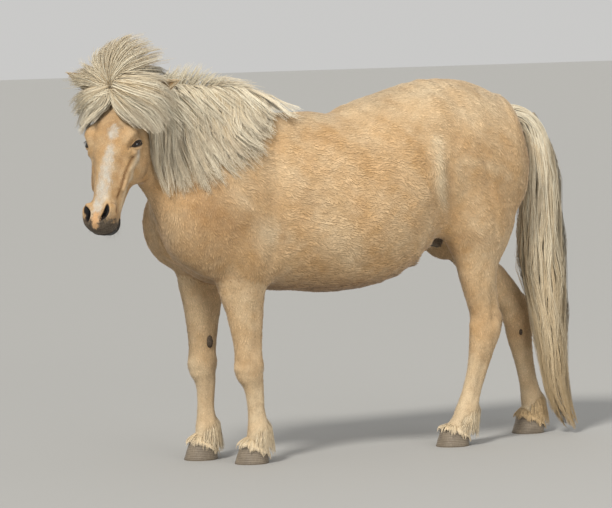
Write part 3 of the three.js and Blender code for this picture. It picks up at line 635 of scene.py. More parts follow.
def fit_lids(p, eye):
    centre = eye[0]
    far, s, upper = lid_place(p, eye)
    lid = 18.9 + 1.9 * ramp(0, 6, s)
    lid -= where(upper, 1.5 * exp(-((s - 8.0) / 1.6) ** 2), 0.8 * exp(-((s - 6.0) / 1.5) ** 2))
    radius = mix(15.2, lid, ramp(-0.7, 0.5, s)) / 1000
    keep = ramp(9, 17, s) * (s < 59) + (s >= 59)
    near = far < 0.036
    share = where(near, keep, 1.0)
    radius = mix(radius, far, clip(share, 0, 1))
    return centre + (p - centre) / far[:, None] * radius[:, None]


print("left eye at", EYES[0][0].round(3))


# %% The skin's own form
def coat_depth(p):
    """How far the skin lies under the tips of the coat."""
    head = ramp(0.02, -0.03, head_form(p) - trunk_form(p))
    low = ramp(0.62, 0.48, p[:, 2]) * (1 - head)
    return mix(mix(0.005, 0.003, low), 0.0012, head)


def relief(p):
    rise = zeros(len(p))
    for points, width, amount in TRUNK_RELIEF + MIDDLE_RELIEF + HEAD_RELIEF:
        rise += near_line(p, points, width / 1000) * amount / 1000
    for limb, fore in zip(LIMBS, (True, True, False, False)):
        near = (limb.form(p) < 0.012) & (p[:, 2] < (0.56 if fore else 0.6))
        if near.any():
            rise[near] += leg_relief(p[near], limb, fore)
    rise -= 0.006 * near_line(p, MOUTH, 0.0028)
    rise += 0.0016 * near_line(p, MOUTH + 0.006 * FACE_OUT, 0.004)
    for nostril in NOSTRILS:
        ring = nostril_ring(p, nostril)
        rise += 0.0026 * exp(-((ring - 1.35) / 0.32) ** 2) - 0.008 * ramp(1.1, 0.35, ring)
    return rise


def skin_form(p):
    return body_form(p) + coat_depth(p) - relief(p)


report("skin form ready,")

# %% [markdown]
# ## Skin
# One hide covers a pony from the lips to the hooves, so the skin is one mesh: spheres are stretched over each
# muscle and along each limb, joined, and wrapped by a voxel remesh, which leaves no seams. Its points are then
# laid on the form above. The head gets smaller faces, and the eyelids the smallest.

# %% Stretch a sphere along a tube or over a muscle
def fetch(items, key, width=1, kind=np.int32):
    """One array with a value of each vertex, edge, face or corner."""
    flat = np.empty(len(items) * width, kind)
    items.foreach_get(key, flat)
    return flat if width == 1 else flat.reshape(-1, width)


def points_of(mesh, key="co"):
    return fetch(mesh.vertices, key, 3, np.float32).astype(float)


def put_points(mesh, points):
    mesh.vertices.foreach_set("co", np.ascontiguousarray(points, np.float32).ravel())
    mesh.update()


def sphere(name, segments, rings):
    deselect()
    bpy.ops.mesh.primitive_uv_sphere_add(segments=segments, ring_count=rings, radius=1, location=(0, 0, 0))
    return made(name)


def along_tube(name, tube, segments=40, rings=44, cap=None):
    obj = sphere(name, segments, rings)
    p = points_of(obj.data)
    cap = tube.cap if cap is None else cap
    length = norms(np.diff(tube.table[:, :3], axis=0)).sum()
    polar = np.arccos(clip(p[:, 2], -1, 1)) / pi
    t = mix(-cap / length, 1 + cap / length, polar)
    over = clip(maximum(-t, t - 1) * length / cap, 0, 1)
    spot = tube.spot(t, arctan2(p[:, 0], p[:, 1]), sqrt(1 - over**2))
    end = where(t[:, None] < 0.5, -tube.table[0, 3:6], tube.table[-1, 3:6])
    put_points(obj.data, spot + end * (over * cap)[:, None])
    return obj


def over_muscle(name, muscle):
    obj = sphere(name, 24, 16)
    put_points(obj.data, muscle.centre + points_of(obj.data) * (muscle.radii - 0.003) @ muscle.axes)
    return obj


shells = [along_tube("barrel", TORSO), along_tube("neck_form", NECK), along_tube("face_form", FACE)]
shells += [along_tube("leg_form", limb, 28, 60, cap=0.012) for limb in LIMBS]
shells += [over_muscle("muscle", muscle) for muscle in TRUNK_MUSCLES + HEAD_MUSCLES]
print("shells:", len(shells))

# %% Join the shells and wrap them in one skin
SKIN_CELL = 0.0085


def apply_modifiers(obj):
    pick(obj)
    for name in [modifier.name for modifier in obj.modifiers]:
        bpy.ops.object.modifier_apply(modifier=name)


def dress(obj, slot, *nodes, paint=None):
    """Shades a piece smooth, gives it its paint, and says what it rides on and what it replaces. The slot is not used.
    """
    pick(obj)
    bpy.ops.object.shade_smooth()
    if paint:
        obj.data.materials.append(paint)
    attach(obj, "root")
    if nodes:
        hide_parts(*nodes)


deselect()
for shell in shells:
    shell.select_set(True)
bpy.context.view_layer.objects.active = shells[0]
bpy.ops.object.join()
skin = made("skin")
pick(skin)
edit_all(lambda: bpy.ops.mesh.normals_make_consistent(inside=False))
wrap = skin.modifiers.new("wrap", "REMESH")
wrap.mode = "VOXEL"
wrap.voxel_size = SKIN_CELL
apply_modifiers(skin)
report("skin faces:", len(skin.data.polygons))


# %% Lay the skin's points on the form
def edges_of(mesh):
    return fetch(mesh.edges, "vertices", 2)


def relax(p, edges, share=0.5, moving=None):
    total = np.zeros_like(p)
    for k in range(3):
        total[:, k] = (bincount(edges[:, 0], p[edges[:, 1], k], len(p))
                       + bincount(edges[:, 1], p[edges[:, 0], k], len(p)))
    count = bincount(edges.ravel(), minlength=len(p))[:, None]
    smooth = mix(p, total / maximum(count, 1), share)
    return smooth if moving is None else where(moving[:, None], smooth, p)


def settle(p, moving=None, rounds=2, furthest=0.012):
    which = arange(len(p)) if moving is None else np.flatnonzero(moving)
    for _ in range(rounds):
        q = p[which]
        f = skin_form(q)
        p[which] = q - slope(q, skin_form, f) * clip(f, -furthest, furthest)[:, None]
    return p


p = points_of(skin.data)
edges = edges_of(skin.data)
p = settle(p, rounds=1)
for _ in range(2):
    p = settle(relax(relax(p, edges), edges), rounds=1)
p_form = p.copy()
soften = (ramp(-0.24, -0.12, p[:, 1]) * ramp(0.36, 0.22, p[:, 1]) * ramp(0.66, 0.76, p[:, 2]))
for _ in range(70):  # a push in and a slightly longer one out smooth without shrinking
    for share in (0.6, -0.63):
        p = mix(p, relax(p, edges, share), soften[:, None])

# The form folds where the back starts to rise to the croup, so a thin plate bent over the fold takes its place
FOLD = body_line([0, 8, 976], [80, -14, 964], [139, 2, 934], [178, 18, 897], [204, 34, 861], [216, 50, 815])
gap = line_distance(abs(p) * [1, 0, 0] + p * [0, 1, 1], FOLD)
near = np.flatnonzero(gap < 0.09)
rank = full(len(p), -1)
rank[near] = arange(len(near))
pairs = rank[edges][(rank[edges] >= 0).all(1)]
degree = bincount(pairs.ravel(), minlength=len(near))[:, None]
free, held = (gap[near] < 0.066)[:, None], (gap[near] < 0.078)[:, None]


def bent(v):
    total = [bincount(pairs.ravel(), v[pairs[:, ::-1].ravel(), k], len(v)) for k in range(3)]
    return stack(total, 1) - degree * v


q = p[near]
rest = -1.0 * free * bent(held * bent(q))
way, size = rest.copy(), (rest**2).sum()
for _ in range(260):  # conjugate gradients
    pushed = free * bent(held * bent(way))
    q = q + way * size / (way * pushed).sum()
    rest = rest - pushed * size / (way * pushed).sum()
    size, last = (rest**2).sum(), size
    way = rest + way * size / last
p[near] = q
put_points(skin.data, p)
print("back softened by", round(float(abs(p - p_form).max() * 1000), 1), "mm at most")
report("skin on the form:", round(float(abs(skin_form(p[::20])).mean() * 1000), 2), "mm off")


# %% Smaller faces on the head, and smallest round the eyes, nostrils and mouth
def refine(near, smooth=1):
    """Divides the skin's faces near a place, and lays the new points on the form again."""
    mesh = skin.data
    chosen = near(fetch(mesh.polygons, "center", 3, np.float32).astype(float))
    pick(skin)
    work_in("EDIT")
    bpy.ops.mesh.select_mode(type="FACE")
    bpy.ops.mesh.select_all(action="DESELECT")
    work_in("OBJECT")
    mesh.polygons.foreach_set("select", chosen)
    work_in("EDIT")
    bpy.ops.mesh.subdivide(number_cuts=1)
    work_in("OBJECT")
    p = points_of(mesh)
    edges = edges_of(mesh)
    moving = near(p)
    for _ in range(smooth):
        p = relax(p, edges, 0.5, moving)
    put_points(mesh, settle(p, moving, rounds=2, furthest=0.006))
    report("  faces:", len(mesh.polygons))


def eye_distance(p):
    return minimum(*(norms(p - centre) for centre, _ in EYES))


def nose_distance(p):
    nose = minimum(*(norms(p - centre) for centre, _ in NOSTRILS))
    return minimum(nose, line_distance(p, MOUTH) + 0.012)


refine(lambda p: (head_form(p) < trunk_form(p)) & (head_form(p) < 0.02))
refine(lambda p: (eye_distance(p) < 0.036) | (nose_distance(p) < 0.03))
refine(lambda p: (eye_distance(p) < 0.027) | (nose_distance(p) < 0.022))

# %% Open the lids over the eyeballs
p = points_of(skin.data)
for eye in EYES:
    p = fit_lids(p, eye)
edges = edges_of(skin.data)
for _ in range(2):
    p = relax(p, edges, 0.35, eye_distance(p) < 0.03)
    for eye in EYES:
        p = fit_lids(p, eye)
put_points(skin.data, p)
dress(skin, "coat", "torso", "neck", "head", *(f"{name}_{leg[5]}" for name, leg in LEGS.items()),
      *(f"{name}_shank" for name in LEGS))
report("skin triangles:", sum(len(f.vertices) - 2 for f in skin.data.polygons))

# %% [markdown]
# ## Making long hair
# Coarse hairs cling together in wavy strands. A curve with a round bevel for each would be heavy, so each strand
# is a thin tapered ribbon with three sides. Guides drawn over the body say where the hair runs; strands are
# laid between them, gather into locks towards their tips, and wave.

# %% Mesh from numbers, with the marks and the map that each strand carries
TOTALS = {}
NECK_CELL, HEAD_CELL, TAIL_CELL = (0.62, 0.02, 0.98, 0.3), (0.62, 0.32, 0.98, 0.62), (0.64, 0.66, 0.98, 0.98)
LEG_CELLS = {name: (0.02 + 0.15 * i, 0.52, 0.15 + 0.15 * i, 0.98) for i, name in enumerate(LEGS)}


def put(items, key, values, kind=np.float32):
    items.foreach_set(key, np.ascontiguousarray(values, kind).ravel())


def write_map(mesh, uv):
    layer = mesh.uv_layers.new(name="OFBake")
    put(layer.data, "uv", clip(uv, 0.001, 0.999))


def add_colours(mesh, name, values):
    values = broadcast_to(values, (len(mesh.vertices), 4))
    attribute = mesh.attributes.new(name, "FLOAT_COLOR", "POINT")
    put(attribute.data, "color", values)


def strand_piece(name, points, faces, lean, along, across, tone, depth, marks, place, slot, node=None, paint=None):
    """Strands x points x 3 become one piece. In the OFBake map each is a small patch at its root's place."""
    count, size = points.shape[:2]
    v = points[0][faces] - points[0, 0]
    if (v[:, 0] * cross(v[:, 1], v[:, 2])).sum() < 0:
        faces = faces[:, ::-1]
    faces = (faces[None] + (arange(count) * size)[:, None, None]).reshape(-1, 3)
    each = lambda v: broadcast_to(v, (count, size)).ravel()
    mesh = bpy.data.meshes.new(name)
    mesh.vertices.add(count * size)
    mesh.loops.add(len(faces) * 3)
    put(mesh.loops, "vertex_index", faces, np.int32)
    mesh.polygons.add(len(faces))
    put(mesh.polygons, "loop_start", arange(0, len(faces) * 3, 3), np.int32)
    put(mesh.polygons, "use_smooth", ones(len(faces)), bool)
    put_points(mesh, points)
    mesh.update(calc_edges=True)
    add_colours(mesh, "marks", np.repeat(marks, size, axis=0))
    add_colours(mesh, "strand", stack([each(tone[:, None]), each(along), each(depth[:, None]), ones(count * size)], 1))
    patch = stack([each(across), each(along)], 1) - 0.5
    write_map(mesh, (np.repeat(place, size, axis=0) + patch * 0.003)[faces.ravel()])
    mesh.normals_split_custom_set_from_vertices(np.ascontiguousarray(lean.reshape(-1, 3), np.float32))
    obj = bpy.data.objects.new(name, mesh)
    bpy.context.scene.collection.objects.link(obj)
    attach(obj, "root")
    if node:
        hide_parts(node)
    mesh.materials.append(paint or hair_paint)
    TOTALS[name] = len(faces)


def ribbon_faces(rings):
    """Triangles of a closed strip of three-sided rings."""
    faces = [[a, b, c] for r in range(0, 3 * rings - 3, 3) for k, n in ((0, 1), (1, 2), (2, 0))
             for a, b, c in ((r + k, r + n, r + n + 3), (r + k, r + n + 3, r + k + 3))]
    last = 3 * (rings - 1)
    return array(faces + [[0, 2, 1], [last, last + 1, last + 2]])


def ribbon_piece(name, paths, outward, width, thick, soft=0.6, **rest):
    """Ribbons along paths, strands x points x 3, with a width at each point of each strand."""
    count, rings = paths.shape[:2]
    along = unit(np.gradient(paths, axis=1))
    outward = unit(outward - along * dot(outward, along))
    side = cross(along, outward)
    w = side * width[..., None] / 2
    ring = stack([paths - w, paths + w, paths + outward * thick], axis=2).reshape(count, -1, 3)
    lean = [unit(outward * soft - side * (1 - soft)), unit(outward * soft + side * (1 - soft)), outward]
    strand_piece(name, ring, ribbon_faces(rings), stack(lean, axis=2), along=np.repeat(linspace(0, 1, rings), 3),
                 across=tile([0, 1, 0.5], rings), **rest)


print("ribbons of 8 rings have", len(ribbon_faces(8)), "triangles")


# %% Guides: curves that keep clear of the body
def push_out(p, form, clear, both=False):
    f = form(p)
    short = clear - f
    if not both:
        short = maximum(short, 0)
    return p + slope(p, form, f) * clip(short, -0.025, 0.06)[:, None]


def lay_on(p, form, clear, rounds=4):
    for _ in range(rounds):
        p = push_out(p, form, clear, both=True)
    return p


def guides(roots, leave, tips, arrive, form, clear, points=13, handle=0.4, drape=False):
    """One curve from each root to each tip, guides x points x 3."""
    length = norms(tips - roots)[:, None]
    b = roots + unit(leave) * length * handle
    c = tips - unit(arrive) * length * 0.35
    s = linspace(0, 1, points)[None, :, None]
    path = ((1 - s)**3 * roots[:, None] + 3 * s * (1 - s)**2 * b[:, None]
            + 3 * s**2 * (1 - s) * c[:, None] + s**3 * tips[:, None])
    rise = minimum(1, 0.4 + linspace(0, 1, points) * 1.8)
    for turn_ in range(3):
        flat = path[:, 1:].reshape(-1, 3)
        want = (clear.reshape(-1, 1) * rise[None, 1:]).ravel()
        if drape:
            share = tile(ramp(0.1, 0.6, linspace(0, 1, points)[1:]), len(roots))
            laid = push_out(flat, form, want, both=True)
            flat = mix(flat, laid, share[:, None])
        for _ in range(2):
            flat = push_out(flat, form, want)
        path[:, 1:] = flat.reshape(len(roots), points - 1, 3)
        if turn_ < 2:
            path[:, 1:-1] = mix(path[:, 1:-1], (path[:, :-2] + path[:, 2:]) / 2, 0.5)
    return path


def read_grid(grid, u, s):
    """Points on a sheet of guides, at u from 0 to 1 across them and s from 0 to 1 along them."""
    rows, points = grid.shape[:2]
    x, y = clip(u, 0, 1) * (rows - 1), clip(s, 0, 1) * (points - 1)
    i, j = minimum(x.astype(int), rows - 2), minimum(y.astype(int), points - 2)
    x, y = (x - i)[..., None], (y - j)[..., None]
    return mix(mix(grid[i, j], grid[i, j + 1], y), mix(grid[i + 1, j], grid[i + 1, j + 1], y), x)


def lay_strands(grid, outward, count, locks, rings=9, gather=0.85, spread=0.004, layer=0.008, wave=0.004,
                shortest=0.7, waves=2.0):
    """Strands between the guides, gathered into locks: paths, outward directions, tone and depth."""
    u = (arange(count) + uniform(0, 1, count)) / count
    layers = draw.integers(0, 3, count)
    middles = [np.sort(uniform(0, 1, locks)) * 0.35 + linspace(0, 1, locks) * 0.65 for _ in range(3)]
    lock = np.empty(count, int)
    centre = np.empty(count)
    for k in range(3):
        mine = layers == k
        nearest = np.argmin(abs(u[mine, None] - middles[k][None]), axis=1)
        lock[mine], centre[mine] = nearest + k * locks, middles[k][nearest]
    of_lock = lambda low, high: uniform(low, high, 3 * locks)[lock]
    end = of_lock(shortest, 1.0) * (1 - 0.3 * uniform(0, 1, count) ** 3)
    s = linspace(0, 1, rings)[None] * end[:, None]
    grow = ramp(0.05, 0.95, s)
    across = mix(u[:, None], centre[:, None], gather * grow)
    path, out = read_grid(grid, across, s), read_grid(outward, across, s)
    along = unit(np.gradient(path, axis=1))
    side = unit(cross(along, out))
    phase, turns = of_lock(0, 6.28), of_lock(0.7, 1.3) * waves
    sway = sin(s * turns[:, None] * 6.28 + phase[:, None] + draw.normal(0, 0.35, count)[:, None])
    heave = cos(s * turns[:, None] * 5.1 + phase[:, None])
    shape = s * (1.15 - 0.4 * s)
    size = of_lock(0.4, 1.0)[:, None]
    free = draw.normal(0, 1, (2, count))
    swing = sway * wave * size * shape * 2 + free[0][:, None] * spread * (1 - 0.55 * grow)
    height = layer * (layers / 2.0 + 0.5 * abs(free[1])) * 0.8
    rise = height[:, None] * ramp(0, 0.25, s) + heave * wave * size * shape * 0.7
    path = path + side * swing[..., None] + unit(out) * rise[..., None]
    tone = clip(0.52 + 0.2 * draw.normal(0, 1, count) + 0.38 * (of_lock(0, 1) - 0.5), 0, 1)
    return path, unit(out), tone, (layers / 2.0)


def taper(rings, count, widest):
    s = linspace(0, 1, rings)
    shape = minimum(0.55 + 1.8 * s, 1) * (1 - 0.84 * ramp(0.5, 1, s))
    return shape[None] * (widest * uniform(0.7, 1.25, count))[:, None]


WHITE_HAIR = array([0, 0, 0, 1.0])
flesh = lambda p: minimum(trunk_form(p), head_form(p))
print("hair helpers ready")

# %% [markdown]
# ## Markings
# The pony is a pale golden palomino with a white star, a narrow blaze that widens to a snip, a dark grey muzzle
# and cream hair. One function of the place gives all of it as four masks, so that the skin and each tuft on it
# carry the same markings. The same masks also hold painted light: painted shade in grooves and creases, under
# the belly, over the shoulder, on the lower cheeks, inside the nostrils and on the lower lip, and painted
# highlights along the top of the back, on the back of the shoulder and on the facial crests.

# %% A slow wander of values over the body, for patches and for the turns of the coat
def wander(p, size, seed, stretch=(1, 1, 1)):
    rng = np.random.default_rng(seed)
    waves = unit(rng.normal(0, 1, (9, 3))) * (2 * pi / size) * rng.uniform(0.6, 1.5, (9, 1))
    return sin((p / array(stretch)) @ waves.T + rng.uniform(0, 6.28, 9)).sum(1) / math.sqrt(4.5)


def spot(p, centre, radius):
    return exp(-(((p - array(centre) / 1000) ** 2).sum(1)) / (radius / 1000) ** 2)


BLAZE_DOWN = [100, 118, 136, 150, 165, 185, 205, 233, 260, 282, 305, 325, 340, 360, 388, 396]
BLAZE_LEFT = [20, 21, 20, 19, 19, 15, 12, 9, 7, 5, 3, 0, -2, -2, -3, -4]
BLAZE_HALF = [0, 11, 13, 3, 8, 12, 14, 16, 17, 18, 18, 15, 14, 10, 4, 0]
# of these face lines, the crest and its end carry a painted highlight, and the groove and the line beside the nasal
# bone carry painted shade
FACE_LINES = []  # on the skin of each side: light under the eye, pale crest, its end, dark groove, bone, tear
for s in (1, -1):
    for line in ([[163, -22, 78], [172, -30, 74]], [[178, -34, 71], [212, -25, 61], [236, -42, 52]],
                 [[246, -44, 45], [290, -46, 36], [326, -38, 34]],
                 [[187, -10, 68], [239, -4, 53], [292, -16, 41], [342, 6, 50]],
                 [[196, 14, 46], [250, 10, 42], [318, 6, 37]], [[160, 6, 74], [170, 4, 68]]):
        FACE_LINES.append(settle(head_line(*([a, b, c * s] for a, b, c in line)), rounds=4))


def face_marks_with_painted_light(p):
    """Masks of the head: pale, dark, grey and white, with painted shade on the lower cheeks, in grooves, inside the
    nostrils and on the lower lip, and painted highlights on the crests.
    """
    down, out, left = head_place(p).T
    side = abs(left)
    rough = wander(p, 0.012, 5) * 1.6 + wander(p, 0.005, 6) * 1.2
    half = interp(down, BLAZE_DOWN, BLAZE_HALF)
    off = abs(left - interp(down, BLAZE_DOWN, BLAZE_LEFT)) - half + rough
    white = ramp(7, -8, off) * (half > 0.5) * ramp(4, 14, out) * (0.68 + 0.12 * wander(p, 0.016, 7))
    star_gap = exp(-((down - 152) / 8) ** 2)
    white = white * (1 - 0.75 * star_gap) * (down < 394)
    grey = ramp(362, 378, down + 0.04 * side + 2.0 * rough - 0.3 * clip(out, -60, 0))
    wing = exp(-((down - 366) / 16) ** 2) * ramp(22, 36, side) * 0.35
    ring = minimum(*(nostril_ring(p, nostril) for nostril in NOSTRILS))
    grey = maximum(maximum(grey * 0.9, wing), ramp(1.12, 0.82, ring))
    pale = 0.35 * exp(-((ring - 1.45) / 0.3) ** 2)
    lip = (down > 348) * ramp(12, 2, out - interp(down, [346, 374, 394, 404], [-42, -34, -25, -18]))
    grey = maximum(grey, lip)
    snip = ramp(345, 358, down + rough) * ramp(4, -5, off) * ramp(394, 387, down)
    white, grey = mix(white, 0.5, snip), mix(grey, 0.5, snip)  # white and grey at once stand for pink skin
    lids = minimum(*(where(lid_place(p, eye)[0] < 0.034, lid_place(p, eye)[1], 60) for eye in EYES))
    grey = maximum(grey, ramp(5.4, 2.0, lids))
    # dark skin inside the nostrils and on the lower lip, made black with painted shade; dark skin at the lid rims
    dark = maximum.reduce([ramp(1.08, 0.9, ring), 0.9 * lip, 0.8 * ramp(5, 2, lids)])
    # the lower cheek and jaw are darker as painted shade, and a darker ring lies a little way round each eye
    dark = dark + 0.26 * ramp(-30, -100, out) + 0.25 * ramp(4, 12, lids) * ramp(22, 12, lids)
    for k in (0, 6):
        under, crest, end, groove, bone, tear = (near_line(p, line, width) for line, width in zip(
            FACE_LINES[k:k + 6], (0.01, 0.01, 0.012, 0.0045, 0.008, 0.005)))
        # painted highlight along the raised crest and its end, and painted shade in the groove and beside the nasal
        # bone
        pale = pale + 0.6 * crest + 0.6 * end
        white = maximum(white, 0.6 * under + 0.1 * crest)
        dark = dark + 0.95 * groove + 0.3 * bone + 0.6 * tear
    dark = dark + 0.34 * spot(p, on_head(108, 34, 12) * 1000, 34) + 0.2 * ramp(300, 350, down) * (white < 0.2)
    return pale, dark, grey, white


BODY_MARKS_AND_PAINTED_SHADE = [  # mask, amount, width in mm, places of the line
    (0, 0.6, 22, [200, 250, 885], [210, 256, 804], [206, 262, 750], [185, 285, 700]),
    (0, 0.35, 18, [203, 328, 825], [200, 387, 821], [188, 439, 800]),
    # painted shade: the next three dark lines darken the groove behind the arm, the fold of the stifle and the lower
    # edge of the thigh
    (1, 0.45, 12, [198, -238, 730], [195, -228, 670], [186, -232, 600]),
    (1, 0.5, 10, [208, 292, 820], [191, 300, 731], [160, 315, 640]),
    (1, 0.25, 22, [160, 335, 610], [178, 395, 600], [176, 440, 606])]
BODY_SPOTS_AND_PAINTED_LIGHT = [  # mask, amount, place, radius in mm
    # the pale spot behind the elbow is the coat's own; the pale one on the back of the shoulder is a painted
    # highlight, and the two dark spots below are painted shade over the shoulder under the neck and mane
    (0, 0.55, (191, -263, 655), 46), (0, 0.3, (196, -345, 745), 34), (1, 0.3, (150, -400, 750), 150),
    (1, 0.3, (150, -440, 640), 100)]


def marks_with_painted_light(p, parts):
    """Four masks for each point: pale, dark, grey and white, with painted shade and painted highlights in them."""
    x, y, z = (p * 1000).T
    side = abs(x)
    q = stack([side / 1000, p[:, 1], p[:, 2]], 1)
    masks = [0.2 + 0.09 * wander(p, 0.16, 1) + 0.05 * wander(p, 0.05, 2),
             0.06 + 0.05 * wander(p, 0.11, 3) + 0.04 * wander(p, 0.03, 4)]
    for mask, amount, width, *places in BODY_MARKS_AND_PAINTED_SHADE:
        masks[mask] += amount * near_line(q, body_line(*places), width / 1000)
    for mask, amount, place, radius in BODY_SPOTS_AND_PAINTED_LIGHT:
        masks[mask] += amount * spot(q, place, radius)
    pale, dark = masks
    # painted highlight: the top of the back and croup are paler, as where the sun falls on them
    pale += 0.35 * ramp(900, 1010, z) * ramp(-180, -60, y)
    # painted shade: the underside of the belly is darker
    dark += 0.7 * (parts == 0) * ramp(590, 480, z) * ramp(230, 60, side)  # underside
    sheath = ramp(0.05, 0.034, norms(q - [0, 0.332, 0.588]))
    leg = parts >= 3
    pale = pale + leg * (0.15 + 0.3 * ramp(330, 200, z) + 0.25 * ramp(110, 70, z))
    dark = dark + leg * 0.1 * ramp(500, 300, z) * ramp(0.0, 0.4, wander(p, 0.05, 8))
    out = stack([pale, dark, 0.85 * sheath * (parts == 0), 0 * x], 1)
    head = parts == 2
    if head.any():
        out[head] = stack(face_marks_with_painted_light(p[head]), 1)
        out[head, 0] += 0.1 + 0.1 * wander(p[head], 0.04, 2)
        out[head, 1] += 0.06 + 0.06 * wander(p[head], 0.02, 4)
    return clip(out, 0, 1)


PART_TUBES = [TORSO, NECK, FACE, *LIMBS]
PART_CELLS = [(0.02, 0.02, 0.6, 0.48), NECK_CELL, HEAD_CELL, *LEG_CELLS.values()]


def parts_of(p):
    """0 torso, 1 neck, 2 head, 3 to 6 the legs."""
    legs = [where(p[:, 2] < (0.55 if i < 2 else 0.62), limb.form(p), 1.0) for i, limb in enumerate(LIMBS)]
    return np.argmin([torso_form(p), neck_form(p) + 0.002, head_form(p), *legs], axis=0)


def skin_map(p, parts):
    """Turn round the part and place along it."""
    out = zeros((len(p), 2))
    for k, tube in enumerate(PART_TUBES):
        mine = parts == k
        if mine.any():
            out[mine] = stack(tube.place(p[mine]), 1)
    return out


def map_place(turn_and_place, parts):
    cells = array(PART_CELLS)[parts]
    u, v = turn_and_place[:, 0] / (2 * pi) + 0.5, clip(turn_and_place[:, 1], 0, 1)
    return stack([mix(cells[:, 0], cells[:, 2], u), mix(cells[:, 1], cells[:, 3], v)], 1)


print("markings ready")

# %% The skin's marks and its OFBake map
p = points_of(skin.data)
p[:, 2] = maximum(p[:, 2], 0.008)
put_points(skin.data, p)
skin_parts = parts_of(p)
skin_marks_and_painted_light = marks_with_painted_light(p, skin_parts)
add_colours(skin.data, "marks", skin_marks_and_painted_light)
add_colours(skin.data, "strand", tile([0.4, 0.5, 0.5, 1.0], (len(p), 1)))

faces_start = fetch(skin.data.polygons, "loop_start")
corner = fetch(skin.data.loops, "vertex_index")
face_of = np.repeat(arange(len(faces_start)), np.diff(np.append(faces_start, len(corner))))
corner_part = skin_parts[corner[faces_start]][face_of]
spun = skin_map(p[corner], corner_part)
first = spun[faces_start, 0][face_of]
spun[:, 0] += 2 * pi * np.round((first - spun[:, 0]) / (2 * pi))
write_map(skin.data, map_place(spun, corner_part))
report("points by part:", bincount(skin_parts).tolist())

# %% [markdown]
# ## Materials of the coat and the hair
# Each hair is darker at its root, which is painted shade, and paler at its tip, and neighbours differ; inner
# layers of long hair are painted browner, as shade. Two node groups make this from the masks, one for the coat
# and one for long hair. The Principled shader itself stays in each material, so that the export can read it.

# %% Helpers for nodes, which all fill the global tree
def add(kind, **settings):
    node = tree.nodes.new("ShaderNode" + kind)
    for name, value in settings.items():
        setattr(node, name, value)
    return node


def feed(node, **sources):
    """Links an output to each named socket, or sets its value; _ in a name stands for a space."""
    for name, source in sources.items():
        socket = node.inputs[int(name[1:]) if name[1:].isdigit() else name.replace("_", " ")]
        if hasattr(source, "is_output"):
            tree.links.new(source, socket)
        else:
            socket.default_value = source
    return node


def blend(factor, a, b, mode="MIX"):
    return feed(add("Mix", data_type="RGBA", blend_type=mode), s0=factor, s6=a, s7=b).outputs[2]


def sums(operation, a, b=0.0, clamp=False):
    return feed(add("Math", operation=operation, use_clamp=clamp), s0=a, s1=b).outputs[0]


def times(a, b, clamp=False):
    return sums("MULTIPLY", a, b, clamp)


def remap(value, low, high, to_low=0.0, to_high=1.0):
    return feed(add("MapRange"), s0=value, s1=low, s2=high, s3=to_low, s4=to_high).outputs[0]


def noise(place, scale, detail=3.0, stretch=None):
    if stretch:
        place = feed(add("Mapping"), Scale=stretch, Vector=place).outputs[0]
    return feed(add("TexNoise"), Vector=place, Scale=scale, Detail=detail).outputs[0]


def split(source, kind="Color"):
    return feed(add("Separate" + kind), s0=source).outputs


def tinted(colour, light):
    return blend(1.0, colour, feed(add("CombineColor"), s0=light, s1=light, s2=light).outputs[0], "MULTIPLY")


def read(name):
    return add("Attribute", attribute_name=name).outputs


def bumped(shader, height, strength, distance):
    bump = feed(add("Bump"), Strength=strength, Distance=distance, Height=height)
    feed(shader, Normal=bump.outputs["Normal"])


def use_group(group, **sources):
    node = add("Group")
    node.node_tree = group
    return feed(node, **sources).outputs


def new_group(name, inputs, outputs):
    global tree
    tree = bpy.data.node_groups.new(name, "ShaderNodeTree")
    for way, sockets in (("INPUT", inputs), ("OUTPUT", outputs)):
        for label, kind in sockets.items():
            tree.interface.new_socket(label, in_out=way, socket_type="NodeSocket" + kind)
    return tree, tree.nodes.new("NodeGroupInput").outputs, tree.nodes.new("NodeGroupOutput")


def rgb(r, g, b):
    return (r, g, b, 1.0)


tree = None
print("node helpers ready")

# %% Node group: colour of the short coat
coat_colour, inp, out = new_group("coat_colour", {"Marks": "Color", "White": "Float", "Strand": "Color",
                                                  "Place": "Vector"}, {"Color": "Color"})
masks, hair = split(inp["Marks"]), split(inp["Strand"])
fine, broad = noise(inp["Place"], 260, 2), noise(inp["Place"], 26, 4)
colour = blend(remap(broad, 0.3, 0.72), rgb(0.545, 0.335, 0.15), rgb(0.605, 0.395, 0.205))
colour = blend(masks[0], colour, rgb(0.74, 0.6, 0.4))
# dark mask: warm dark gold, the coat's own deeper colour in places and painted shade in others
colour = blend(masks[1], colour, rgb(0.23, 0.115, 0.038))
colour = blend(inp["White"], colour, rgb(0.6, 0.575, 0.51))
grey = blend(remap(fine, 0.35, 0.65), rgb(0.035, 0.031, 0.026), rgb(0.1, 0.088, 0.072))
# grey with dark goes nearly black: dark skin at the lid rims, and painted shade inside the nostrils and on the lower
# lip
colour = blend(masks[2], colour, blend(masks[1], grey, rgb(0.006, 0.005, 0.005)))
colour = blend(times(times(inp["White"], masks[2]), 4.0, True), colour, rgb(0.63, 0.38, 0.19))  # pink
light = times(remap(hair[0], 0, 1, 0.74, 1.24), remap(fine, 0.3, 0.7, 0.9, 1.1))
# painted shade: each tuft is darker towards its root
feed(out, Color=tinted(colour, times(light, remap(hair[1], 0, 0.7, 0.66, 1.06))))

# %% Node group: colour of the long hair
hair_colour, inp, out = new_group("hair_colour", {"Marks": "Color", "Strand": "Color", "Place": "Vector",
                                                  "Low": "Float"}, {"Color": "Color"})
masks, hair = split(inp["Marks"]), split(inp["Strand"])
cream = blend(hair[0], rgb(0.5, 0.375, 0.215), rgb(0.83, 0.765, 0.6))
